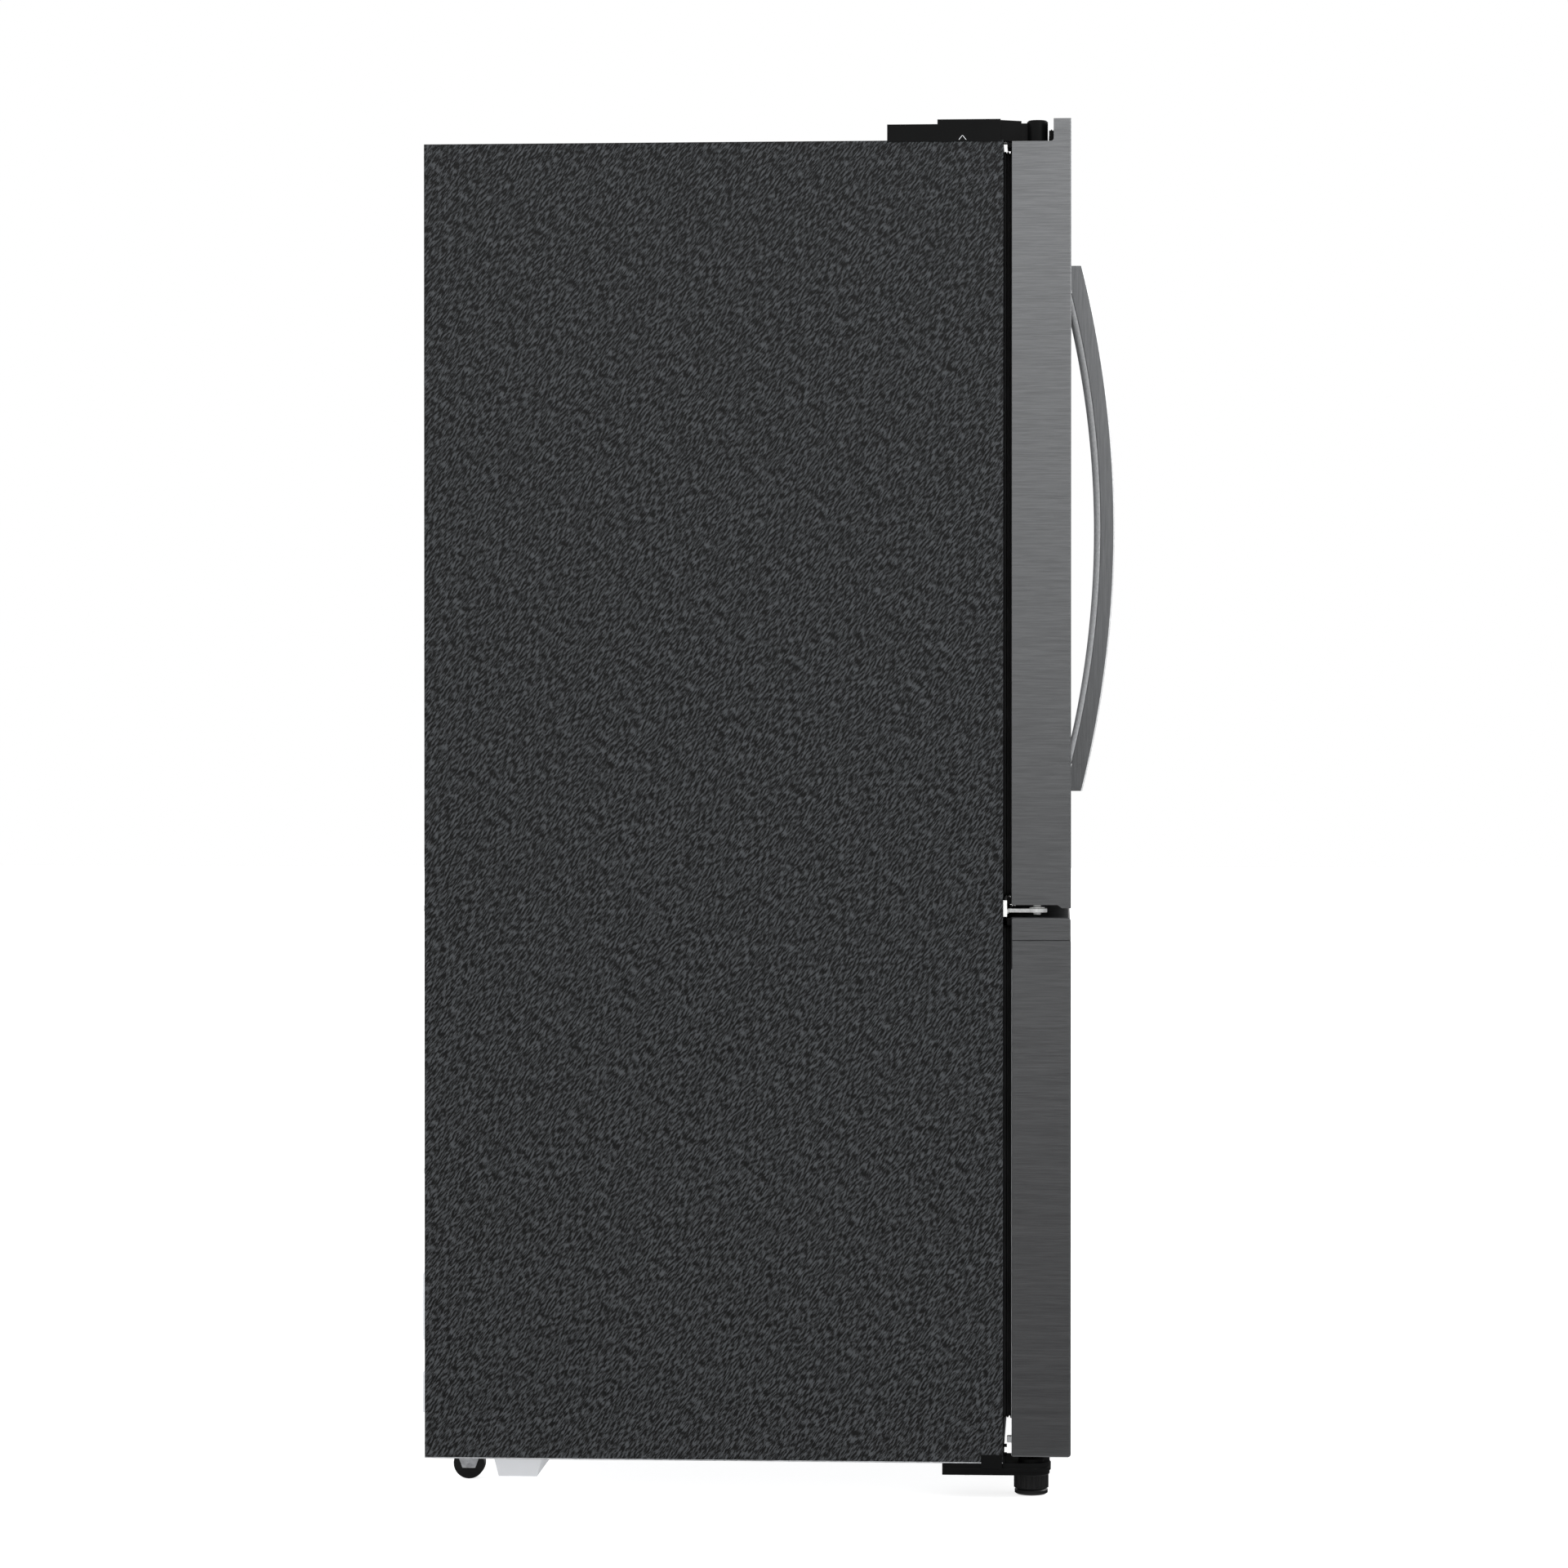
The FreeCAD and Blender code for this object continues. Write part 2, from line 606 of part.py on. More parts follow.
def machine_room():
    pan_outer = extrude("PanOuter", "YZ_Plane",
                        [(298, 60), (363, 60), (363, 40), (356, 12), (305, 12), (298, 40)], -330, -130)
    pan_inner = extrude("PanInner", "YZ_Plane",
                        [(300, 61), (361, 61), (361, 41), (354.5, 14), (306.5, 14), (300, 41)], -328, -132)
    rim = block("PanRim", (-340, -120), (288, 373), (panel_bottom, panel_bottom + 2))
    node("drain_pan", cut("DrainPan", fuse("PanSolid", pan_outer, rim), pan_inner))

    shell = [
        (0, 66), (62, 66), (78, 78), (82, 96), (82, 168), (76, 196), (52, 216), (0, 222),
    ]
    pot = revolve("CompressorPot", shell, 210, 318)
    feet = block("CompressorFeet", (110, 310), (248, 388), (62, 67))
    bushes = [
        rod(f"CompressorBush{i}", 9, "z", (x, y), panel_bottom, 63)
        for i, (x, y) in enumerate(((122, 260), (298, 260), (122, 376), (298, 376)))
    ]
    stub = rod("CompressorPipe", 4, "z", (150, 318), 190, 250)
    node("compressor", fuse("Compressor", pot, feet, stub, *bushes))

    core = block("CondenserCore", (-335, -125), (235, 412), (80, 270))
    gaps = [
        block(f"CondenserGap{i}", (-329 + i * 26, -311 + i * 26), (230, 417), (88, 262))
        for i in range(8)
    ]
    tubes = [
        rod(f"CondenserTube{row}_{column}", 4, "x", (283 + column * 81, 130 + row * 90), -340, -116)
        for row in range(2) for column in range(2)
    ]
    coil = fuse("CondenserCoil", cut("CondenserFins", core, *gaps), *tubes)

    wall = block("ShroudWall", (-60, -54), (200, 436), (panel_bottom, machine_top - 4))
    mouth = rod("ShroudMouth", 82, "x", (318, 170), -62, -50)
    motor = rod("ShroudMotor", 24, "x", (318, 170), -60, -30)
    spokes = [
        block("ShroudSpokeUp", (-60, -54), (314, 322), (86, 254)),
        block("ShroudSpokeAcross", (-60, -54), (234, 402), (166, 174)),
    ]
    shaft = rod("ShroudShaft", 3, "x", (318, 170), -32, -8)
    shroud = fuse("FanShroud", cut("ShroudPlate", wall, mouth), motor, shaft, *spokes)
    node("condenser", group("Condenser", coil, shroud))


def fan(label, axis, centre, low, reach, hub):
    """Blades on a hub that turns on a 3 mm shaft."""
    depth = 20
    blade_count = 5
    blade_width = hub * 1.7
    blade_thickness = 2
    blade_pitch = 28
    blades = []
    for index in range(blade_count):
        blade = doc.addObject("Part::Box", f"{label}Blade{index}")
        blade.Length = reach
        blade.Width = blade_width
        blade.Height = blade_thickness
        pitch = FreeCAD.Rotation(FreeCAD.Vector(1, 0, 0), blade_pitch)
        turn = FreeCAD.Rotation(FreeCAD.Vector(0, 0, 1), 360 * index / blade_count)
        root = FreeCAD.Vector(0, -blade_width / 2, -blade_thickness / 2)
        first = FreeCAD.Placement(root, FreeCAD.Rotation())
        blade.Placement = FreeCAD.Placement(FreeCAD.Vector(), turn * pitch).multiply(first)
        blades.append(blade)
    core = doc.addObject("Part::Cylinder", label + "Hub")
    core.Radius = hub
    core.Height = depth
    core.Placement.Base.z = -depth / 2
    rim = doc.addObject("Part::Cylinder", label + "Sweep")
    rim.Radius = reach - 2
    rim.Height = depth
    rim.Placement.Base.z = -depth / 2
    bore = doc.addObject("Part::Cylinder", label + "Bore")
    bind(bore, "Radius", 3 + running_gap)
    bore.Height = depth * 2
    bore.Placement.Base.z = -depth
    whole = doc.addObject("Part::MultiCommon", label + "Blades")
    whole.Shapes = [fuse(label + "Wheel", core, *blades), rim]
    bored = cut(label, whole, bore)
    turns = {
        "x": FreeCAD.Rotation(FreeCAD.Vector(0, 1, 0), 90),
        "y": FreeCAD.Rotation(FreeCAD.Vector(1, 0, 0), 90),
    }
    places = {
        "x": (low + depth / 2, centre[0], centre[1]),
        "y": (centre[0], low + depth / 2, centre[1]),
    }
    bored.Placement = FreeCAD.Placement(FreeCAD.Vector(*places[axis]), turns[axis])
    return bored


def freezer_machinery():
    core = block("EvaporatorCore", (-270, 270), (334, 366), (330, 560))
    gaps = [
        block(f"EvaporatorGap{i}", (-262 + i * 54, -224 + i * 54), (330, 370), (338, 552))
        for i in range(10)
    ]
    tubes = [
        rod(f"EvaporatorTube{i}", 4, "x", (350, 375 + i * 70), -282, 282)
        for i in range(3)
    ]
    node("evaporator", fuse("Evaporator", cut("EvaporatorFins", core, *gaps), *tubes))

    side = inner_side - 6
    panel = block("FreezerDuctPanel", (-side, side), (318, 322), (machine_top + 16, freezer_ceiling - 2))
    mouth = rod("FreezerDuctMouth", 54, "y", (0, 630), 317, 323)
    slots = [
        block(f"FreezerDuctSlot{i}", (x, x + 60), (317, 323), (z, z + 8))
        for i, (x, z) in enumerate([(-320 + c * 84, 345 + r * 40) for c in range(8) for r in range(3)])
    ]
    bar_up = block("FreezerDuctBarUp", (-4, 4), (318, 322), (574, 686))
    bar_across = block("FreezerDuctBarAcross", (-56, 56), (318, 322), (626, 634))
    motor = rod("FreezerDuctMotor", 20, "y", (0, 630), 318, 330)
    shaft = rod("FreezerDuctShaft", 3, "y", (0, 630), 329, 356)
    cut_panel = cut("FreezerDuctCut", panel, mouth, *slots)
    node("freezer_duct", fuse("FreezerDuct", cut_panel, bar_up, bar_across, motor, shaft))


# ---------------------------------------------------------------- inside the fresh food compartment

def fresh_fittings():
    panel = block("DuctPanel", (-95, 95), (350, inner_rear), (840, fresh_ceiling - 10))
    hollow = block("DuctHollow", (-90, 90), (354, inner_rear + 1), (845, fresh_ceiling - 15))
    vents = [
        block(f"DuctVent{i}_{j}", (x, x + 46), (349, 355), (z, z + 6))
        for i, x in enumerate((-78, 32)) for j, z in enumerate((1120, 1134, 1330, 1344, 1560, 1574))
    ]
    node("air_duct_panel", cut("AirDuctPanel", panel, hollow, *vents))
    body = block("LampBody", (-130, 130), (-60, 20), (fresh_ceiling - 9, fresh_ceiling))
    node("ceiling_lamp", body)


def shelf(name, xs, ys, level):
    """One shelf: a plastic rim and the glass pane that it holds."""
    rim_width = 14
    seat_width = 6
    seat_height = level + 11
    pane_thickness = 4
    top = level + shelf_thickness

    def inset(width, zs, role):
        across = (size_of(xs[0]) + width, size_of(xs[1]) - width)
        deep = (size_of(ys[0]) + width, size_of(ys[1]) - width)
        return block(name + role, across, deep, zs)

    outer = block(name + "Rim", xs, ys, (level, top))
    opening = inset(rim_width, (level - 1, top + 1), "Opening")
    seat = inset(seat_width, (seat_height, top + 1), "Seat")
    pane = inset(seat_width, (seat_height, seat_height + pane_thickness), "Pane")
    return cut(name, outer, opening, seat), pane


def shelves():
    rims = []
    panes = []
    far = inner_side - 2
    for level in shelf_levels:
        for side, label in sides:
            rim, pane = shelf(f"Shelf{label}{level}", span(side, 2, far), (shelf_front, shelf_rear), level)
            rims.append(rim)
            panes.append(pane)
    rim, pane = shelf("CrisperCover", (-far, far), (crisper_front, shelf_rear), cover_level)
    rims.append(rim)
    panes.append(pane)
    node("shelf_frames", group("ShelfFrames", *rims))
    node("shelf_glass", group("ShelfGlass", *panes))


def crisper(side, label):
    """Open-topped drawer with a thicker front and a finger lip."""
    xs = span(side, 6, crisper_side)
    low = fresh_floor + 3
    tray = tub("CrisperTub" + label, xs, (crisper_front + 4, crisper_front + crisper_depth),
               (low, low + crisper_height), 3, 3)
    front = block("CrisperFront" + label, xs, (crisper_front, crisper_front + 4.5),
                  (low, low + crisper_height))
    lip = block("CrisperLip" + label, (xs[0] + 20, xs[1] - 20), (crisper_front - 12, crisper_front + 1),
                (low + crisper_height - 8, low + crisper_height))
    drop = block("CrisperDrop" + label, (xs[0] + 20, xs[1] - 20), (crisper_front - 12, crisper_front - 9),
                 (low + crisper_height - 24, low + crisper_height - 7))
    node("crisper_" + label.lower(), fuse("Crisper" + label, tray, front, lip, drop))


# ---------------------------------------------------------------- upper doors

def door_skin(side, label):
    """Brushed steel wrapped round the front and both sides of a door."""
    profile = [
        (door_front, front_lip_bottom),
        (door_front, lip_top),
        (door_front + lip_depth, lip_top),
        (door_front + lip_depth, door_top),
        (door_rear, door_top),
        (door_rear, door_bottom),
        (door_front + 17.5, door_bottom),
        (door_front + 11.4, front_lip_bottom),
    ]
    low, high = span(side, door_inner, door_outer)
    body = extrude("DoorSkin" + label, "YZ_Plane", profile, low, high)

    def front_corner(edge):
        return along(edge, "z") and abs(edge.CenterOfMass.y - door_front.value) < 0.1

    def lip_corner(edge):
        middle = edge.CenterOfMass
        return (along(edge, "x") and abs(middle.z - door_top.value) < 0.1
                and abs(middle.y - door_front.value - lip_depth.value) < 0.1)

    round_edges(body, 2.2, front_corner)
    round_edges(body, 3.5, lip_corner)
    hollow = block("DoorHollow" + label, (low + steel, high - steel), (door_front + steel, door_rear + 1),
                   (front_lip_bottom - 1, lip_top + 1))
    node(label.lower() + "_door_skin", cut("DoorSkinShell" + label, body, hollow))


def door_caps(side, label):
    """Plastic end caps that close the steel at the top and bottom and carry the hinge bushes."""
    low, high = span(side, door_inner + steel, door_outer - steel)
    front = door_front + steel
    axis_x = side * hinge_side
    top_profile = [
        (front, door_top - 20),
        (front, lip_top - 0.6),
        (door_front + lip_depth, lip_top - 0.6),
        (door_front + lip_depth, door_top),
        (door_rear, door_top),
        (door_rear, door_top - 20),
    ]
    top = extrude("TopCap" + label, "YZ_Plane", top_profile, low, high)
    stop = block("TopStop" + label, span(side, hinge_side - 60, hinge_side - 16),
                 (door_front + lip_depth - 1, door_front + lip_depth + 6), (door_top - 1, door_top + 19))
    top_bore = rod("TopBore" + label, pin_radius + running_gap, "z", (axis_x, hinge_back),
                   door_top - 18, door_top + 1)
    top_cap = cut("TopCapBored" + label, fuse("TopCapSolid" + label, top, stop), top_bore)
    bottom_profile = [
        (front, front_lip_bottom + 0.6),
        (front, door_bottom + 20),
        (door_rear, door_bottom + 20),
        (door_rear, door_bottom),
        (door_front + 17.5, door_bottom),
        (door_front + 11.4, front_lip_bottom + 0.6),
    ]
    bottom = extrude("BottomCap" + label, "YZ_Plane", bottom_profile, low, high)
    bottom_bore = rod("BottomBore" + label, pin_radius + running_gap, "z", (axis_x, hinge_back),
                      door_bottom - 1, door_bottom + 19)
    node(label.lower() + "_door_caps",
         group("DoorCaps" + label, top_cap, cut("BottomCapBored" + label, bottom, bottom_bore)))


def door_liner(side, label):
    """White inner sheet of a door, with the two ribs that the bins hang between."""
    plate = block("LinerPlate" + label, span(side, door_inner + steel, door_outer - steel),
                  (door_rear - 2, door_rear), (door_bottom + 20, door_top - 20))
    hinge_rib = block("LinerHingeRib" + label, span(side, rib_outer - 12, rib_outer),
                      (door_rear - 1, door_rear + dyke_depth), (fresh_floor + 6, fresh_ceiling - 6))
    free_rib = block("LinerFreeRib" + label, span(side, handle_side, handle_side + 12),
                     (door_rear - 1, door_rear + dyke_depth), (fresh_floor + 6, fresh_ceiling - 6))
    bars = [
        block(f"LinerBar{label}{i}", span(side, handle_side + 11, rib_outer - 11),
              (door_rear - 1, door_rear + dyke_depth), (low, low + 12))
        for i, low in enumerate((fresh_floor + 6, fresh_ceiling - 18))
    ]
    pieces = [plate, hinge_rib, free_rib, *bars]
    if side < 0:
        for index, low in enumerate((flap_bottom - 14, flap_top + 2)):
            lug = block(f"FlapLug{index}", (-handle_side - 1, flap_pivot_x + 7),
                        (flap_pivot_y - 6, flap_pivot_y + 6), (low, low + 12))
            hole = rod(f"FlapHole{index}", 2.5 + running_gap, "z", (flap_pivot_x, flap_pivot_y),
                       low - 1, low + 13)
            pieces.append(cut(f"FlapLugBored{index}", lug, hole))
    node(label.lower() + "_door_liner", fuse("DoorLiner" + label, *pieces))


def door_foam(side, label):
    node(label.lower() + "_door_foam",
         block("DoorFoam" + label, span(side, door_inner + steel, door_outer - steel),
               (door_front + steel, door_rear - 2), (door_bottom + 20, door_top - 20)))


def door_gasket(side, label):
    node(label.lower() + "_door_gasket",
         ring("DoorGasket" + label, span(side, door_inner + 5.5, door_outer - gasket_inset),
              (door_rear, case_front - 0.3), (door_bottom + 9, door_top - 8), gasket_width))


def handle(side, label):
    """Curved bar: the outer and inner arcs share the same end planes on the door."""
    body = doc.addObject("PartDesign::Body", "Handle" + label)
    sketch = sketch_on(body, "YZ_Plane", f"Handle{label}_outline")
    front = door_front.value
    low = handle_bottom.value
    high = handle_top.value
    middle = (low + high) / 2
    corners = [
        (door_front, handle_bottom),
        (door_front - handle_end, handle_bottom),
        (door_front - handle_end, handle_top),
        (door_front, handle_top),
        (door_front, handle_top - handle_foot),
        (door_front, handle_bottom + handle_foot),
    ]
    spots = [FreeCAD.Vector(a.value, b.value, 0) for a, b in corners]
    outer_top = FreeCAD.Vector(front - handle_reach.value, middle, 0)
    inner_top = FreeCAD.Vector(front - handle_gap.value, middle, 0)
    sketch.addGeometry(Part.LineSegment(spots[0], spots[1]), False)
    sketch.addGeometry(Part.Arc(spots[1], outer_top, spots[2]), False)
    sketch.addGeometry(Part.LineSegment(spots[2], spots[3]), False)
    sketch.addGeometry(Part.LineSegment(spots[3], spots[4]), False)
    sketch.addGeometry(Part.Arc(spots[4], inner_top, spots[5]), False)
    sketch.addGeometry(Part.LineSegment(spots[5], spots[0]), False)

    def end_at(edge, spot):
        """Which end of an edge lies on a corner: 1 is its start and 2 its end."""
        return 1 if (sketch.getPoint(edge, 1) - spot).Length < 0.01 else 2

    for edge in range(6):
        following = (edge + 1) % 6
        corner = spots[following]
        ends = (edge, end_at(edge, corner), following, end_at(following, corner))
        sketch.addConstraint(Sketcher.Constraint("Coincident", *ends))
    for edge, (a, b) in ((0, corners[0]), (2, corners[2]), (3, corners[3]), (5, corners[5])):
        hold(sketch, "DistanceX", edge, 1, a)
        hold(sketch, "DistanceY", edge, 1, b)
    hold(sketch, "DistanceX", 0, 2, corners[1][0])
    hold(sketch, "DistanceY", 0, 2, corners[1][1])
    hold(sketch, "DistanceX", 3, 2, corners[4][0])
    hold(sketch, "DistanceY", 3, 2, corners[4][1])
    outer_half = (handle_top - handle_bottom) / 2
    outer_rise = handle_reach - handle_end
    outer_radius = (outer_half * outer_half + outer_rise * outer_rise) / (outer_rise * 2)
    inner_half = outer_half - handle_foot
    inner_radius = (inner_half * inner_half + handle_gap * handle_gap) / (handle_gap * 2)
    for edge, radius in ((1, outer_radius), (4, inner_radius)):
        index = sketch.addConstraint(Sketcher.Constraint("Radius", edge, radius.value))
        sketch.setExpression(f"Constraints[{index}]", radius.text)
    start = side * handle_side - handle_width / 2
    bind(sketch, "AttachmentOffset.Base.z", start)
    pad = body.newObject("PartDesign::Pad", f"Handle{label}_pad")
    pad.Profile = sketch
    bind(pad, "Length", handle_width)

    def arc_of(radius):
        def wanted(edge):
            is_arc = not edge.Degenerated and isinstance(edge.Curve, Part.Circle)
            return is_arc and abs(edge.Curve.Radius - radius.value) < 1
        return wanted

    round_edges(body, 2.5, arc_of(outer_radius), "PartDesign::Chamfer")
    round_edges(body, 9, arc_of(inner_radius))
    node(label.lower() + "_door_handle", body)


def door_bins(side, label):
    bins = []
    xs = span(side, handle_side + 12.5, rib_outer - 12.5)
    for index, level in enumerate(bin_levels):
        tray = tub(f"Bin{label}{index}", xs, (door_rear + 0.5, door_rear + 2 + bin_depth),
                   (level, level + bin_height), bin_wall, bin_wall)
        bins.append(tray)
    node(label.lower() + "_door_bins", group("DoorBins" + label, *bins))


def mullion_flap():
    """Hinged strip on the left door that closes the gap behind both doors."""
    half = 6
    strip = block("FlapStrip", (flap_pivot_x - half, flap_pivot_x + half), (flap_pivot_y, flap_pivot_y + 40),
                  (flap_bottom, flap_top))
    nose = rod("FlapNose", half, "z", (flap_pivot_x, flap_pivot_y), flap_bottom, flap_top)
    pins = [
        rod("FlapPinLow", 2.5, "z", (flap_pivot_x, flap_pivot_y), flap_bottom - 13, flap_bottom + 1),
        rod("FlapPinHigh", 2.5, "z", (flap_pivot_x, flap_pivot_y), flap_top - 1, flap_top + 13),
    ]
    node("mullion_flap", fuse("MullionFlap", strip, nose, *pins))


# ---------------------------------------------------------------- freezer drawer

def drawer_front():
    outer = (-half_case, half_case)
    inside = (-half_case + steel, half_case - steel)
    profile = [
        (door_front, drawer_bottom),
        (door_front, grip_seam),
        (door_rear, grip_seam),
        (door_rear, drawer_bottom),
    ]
    body = extrude("DrawerSkin", "YZ_Plane", profile, *outer)

    def front_corner(edge):
        return along(edge, "z") and abs(edge.CenterOfMass.y - door_front.value) < 0.1

    def bottom_front(edge):
        middle = edge.CenterOfMass
        return (along(edge, "x") and abs(middle.y - door_front.value) < 0.1
                and abs(middle.z - drawer_bottom.value) < 0.1)

    def bottom_rear(edge):
        middle = edge.CenterOfMass
        return (along(edge, "x") and abs(middle.y - door_rear.value) < 0.1
                and abs(middle.z - drawer_bottom.value) < 0.1)

    round_edges(body, 2, bottom_rear)
    round_edges(body, 4, bottom_front)
    round_edges(body, 2.2, front_corner)
    hollow = block("DrawerHollow", inside, (door_front + steel, door_rear + 1),
                   (drawer_bottom + steel, grip_seam + 1))
    node("drawer_skin", cut("DrawerSkinShell", body, hollow))

    # the grip moulding: a channel behind the front lip, open to the front above the seam
    trim = 1
    crown = extrude("GripBlock", "YZ_Plane", [
        (door_front + trim, grip_seam),
        (door_front + trim, drawer_top - 2),
        (door_front + trim + 2, drawer_top),
        (door_rear, drawer_top),
        (door_rear, grip_seam),
    ], -half_case + trim, half_case - trim)
    root = block("GripRoot", inside, (door_front + steel, door_rear), (grip_seam - 36, grip_seam))
    channel = block("GripChannel", (-half_case + 32, half_case - 32), (door_front + 6, door_front + 38),
                    (grip_seam - 30, drawer_top - 6))
    mouth = block("GripMouth", (-half_case + 32, half_case - 32), (door_front - 5, door_front + 10),
                  (grip_seam, drawer_top - 6))
    node("drawer_grip", cut("DrawerGrip", fuse("GripSolid", crown, root), channel, mouth))

    node("drawer_foam", block("DrawerFoam", inside, (door_front + steel, door_rear - 2),
                              (drawer_bottom + steel, grip_seam - 36)))
    plate = block("DrawerLinerPlate", inside, (door_rear - 2, door_rear),
                  (drawer_bottom + steel, grip_seam - 36))
    dyke = ring("DrawerDyke", (-334, 334), (door_rear, door_rear + dyke_depth), (freezer_floor + 12, 680), 12)
    bumpers = [
        block("Bumper" + label, span(side, hinge_side - 4, hinge_side + 8),
              (door_rear - 1, door_rear + 6), (73, 81))
        for side, label in sides
    ]
    node("drawer_liner", fuse("DrawerLiner", plate, dyke, *bumpers))
    node("drawer_gasket", ring("DrawerGasket", (-half_case + gasket_inset, half_case - gasket_inset),
                               (door_rear, case_front - 0.3), (102, drawer_top - 10), gasket_width))


def drawer_inside():
    fixed = []
    moving = []
    for side, label in sides:
        wall = inner_side - 4
        fixed.append(block("FixedSlide" + label, span(side, wall - 10, wall), (-288, 170), (380, 420)))
        rail = block("MovingRail" + label, span(side, wall - 21, wall - 10.5), (door_rear, 150), (384, 416))
        moving.append(rail)
    cross = block("RailCross", (-inner_side + 25, inner_side - 25), (146, 150), (388, 412))
    node("freezer_slides", group("FreezerSlides", *fixed))
    node("drawer_rails", fuse("DrawerRails", *moving, cross))

    xs = (-inner_side + 37, inner_side - 37)
    basket = tub("BasketTub", xs, (-284, 140), (freezer_floor + 6, 415), 3, 3)
    wings = [
        block("BasketWing" + label, span(side, inner_side - 40, inner_side - 15), (-270, 130), (416, 419))
        for side, label in sides
    ]
    posts = [
        block("BasketPost" + label, span(side, inner_side - 40, inner_side - 37), (-270, 130), (410, 417))
        for side, label in sides
    ]
    node("freezer_basket", fuse("FreezerBasket", basket, *wings, *posts))

    xs = (-inner_side + 32, inner_side - 32)
    tray = tub("TrayTub", xs, (-268, 165), (tray_level - 12, tray_level + 80), 3, 3)
    wings = [
        block("TrayWing" + label, span(side, inner_side - 33, inner_side - 8), (-268, 165),
              (tray_level, tray_level + 4))
        for side, label in sides
    ]
    node("freezer_tray", fuse("FreezerTray", tray, *wings))


# ---------------------------------------------------------------- build

sides = ((-1, "Left"), (1, "Right"))
shelf_levels = (1215, 1440)
cover_level = 1000
bin_levels = (1035, 1265, 1495)
tray_level = 470
rib_outer = size_of(344)
flap_pivot_x = size_of(-18)
flap_pivot_y = size_of(-298)
flap_bottom = fresh_floor + 22
flap_top = fresh_ceiling - 22

for side, label in sides:
    side_panel(side, label)
case_panels()
fresh_liner()
freezer_liner()
insulation()
rear_cover()
for side, label in sides:
    top_hinge(side, label)
    centre_hinge(side, label)
    leg_bracket(side, label)
    levelling_foot(side, label)
    roller(side, label)
roller_brackets()
machine_room()
node("condenser_fan", fan("CondenserFan", "x", (318, 170), -28, 74, 16))
freezer_machinery()
node("evaporator_fan", fan("EvaporatorFan", "y", (0, 630), 332, 50, 13))
fresh_fittings()
shelves()
for side, label in sides:
    crisper(side, label)
    door_skin(side, label)
    door_caps(side, label)
    door_liner(side, label)
    door_foam(side, label)
    door_gasket(side, label)
    handle(side, label)
    door_bins(side, label)
mullion_flap()
drawer_front()
drawer_inside()

doc.recompute()

# ---------------------------------------------------------------- check and write

failed = [item.Label for item in doc.Objects if {"Invalid", "Error"} & set(item.State)]
for label, item in nodes.items():
    shape = item.Shape
    if shape.isNull() or not shape.isValid() or not shape.Solids:
        failed.append(label)
if failed:
    raise RuntimeError("these objects failed: " + ", ".join(failed))

os.makedirs("parts", exist_ok=True)
for label, item in nodes.items():
    item.Shape.exportStep(f"parts/{label}.step")
    print(label, len(item.Shape.Solids), round(item.Shape.Volume))
print(len(nodes), "nodes")
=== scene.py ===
import json
import math
import bmesh
import bpy
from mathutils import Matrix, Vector


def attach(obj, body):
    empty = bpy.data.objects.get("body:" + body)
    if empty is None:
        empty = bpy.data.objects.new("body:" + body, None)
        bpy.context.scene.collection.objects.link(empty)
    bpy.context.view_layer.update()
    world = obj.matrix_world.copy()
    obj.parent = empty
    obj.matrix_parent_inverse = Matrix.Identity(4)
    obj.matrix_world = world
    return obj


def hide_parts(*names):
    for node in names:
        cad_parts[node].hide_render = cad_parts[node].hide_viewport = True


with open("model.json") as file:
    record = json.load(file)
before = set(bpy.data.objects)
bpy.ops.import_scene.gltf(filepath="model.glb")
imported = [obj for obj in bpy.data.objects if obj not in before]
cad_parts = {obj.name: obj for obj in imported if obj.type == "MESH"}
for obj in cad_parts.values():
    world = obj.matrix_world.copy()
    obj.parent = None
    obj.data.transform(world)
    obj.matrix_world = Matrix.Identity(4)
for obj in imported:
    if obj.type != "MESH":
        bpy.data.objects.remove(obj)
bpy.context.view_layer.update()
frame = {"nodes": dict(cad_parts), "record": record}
nodes = frame["nodes"]
print("frame loaded:", len(nodes), "nodes")

bodyOf = {}
for bodyName, members in frame["record"]["behaviour"]["bodies"].items():
    for member in members:
        bodyOf[member] = bodyName
slotOf = {row["node"]: row["material_slot"] for row in frame["record"]["subparts"]}


# camera, floor and light

studio = {
    "eye": (-6.199, -0.3785, 0.9686),  # where the lens is
    "turn": 3.503,                     # degrees towards the back of the cabinet
    "tilt": 0.468,                     # degrees down
    "lens": 103.42,
    "sensor": 36,
    "farClip": 100,
    "floorSize": 60.0,
    "floorColour": (0.60, 0.60, 0.60),
    "floorGlow": 0.80,
    # height as a share of the way from straight down to straight up, and the tone there
    "skyTones": ((0.0, 0.42), (0.30, 0.36), (0.39, 0.010), (0.460, 0.014), (0.582, 1.0)),
    "skyStrength": 1.15,
}


def addCamera():
    data = bpy.data.cameras.new("camera")
    data.lens = studio["lens"]
    data.sensor_width = studio["sensor"]
    data.clip_end = studio["farClip"]
    camera = bpy.data.objects.new("camera", data)
    bpy.context.scene.collection.objects.link(camera)
    turn = math.radians(studio["turn"])
    tilt = math.radians(studio["tilt"])
    look = Vector((math.cos(tilt) * math.cos(turn), math.cos(tilt) * math.sin(turn), -math.sin(tilt)))
    camera.location = studio["eye"]
    camera.rotation_euler = look.to_track_quat("-Z", "Y").to_euler()
    bpy.context.scene.camera = camera


def addSoftbox(name, place, target, width, height, power):
    data = bpy.data.lights.new(name, "AREA")
    data.shape = "RECTANGLE"
    data.size = width
    data.size_y = height
    data.energy = power
    light = bpy.data.objects.new(name, data)
    bpy.context.scene.collection.objects.link(light)
    light.location = place
    light.rotation_euler = (Vector(target) - Vector(place)).to_track_quat("-Z", "Y").to_euler()


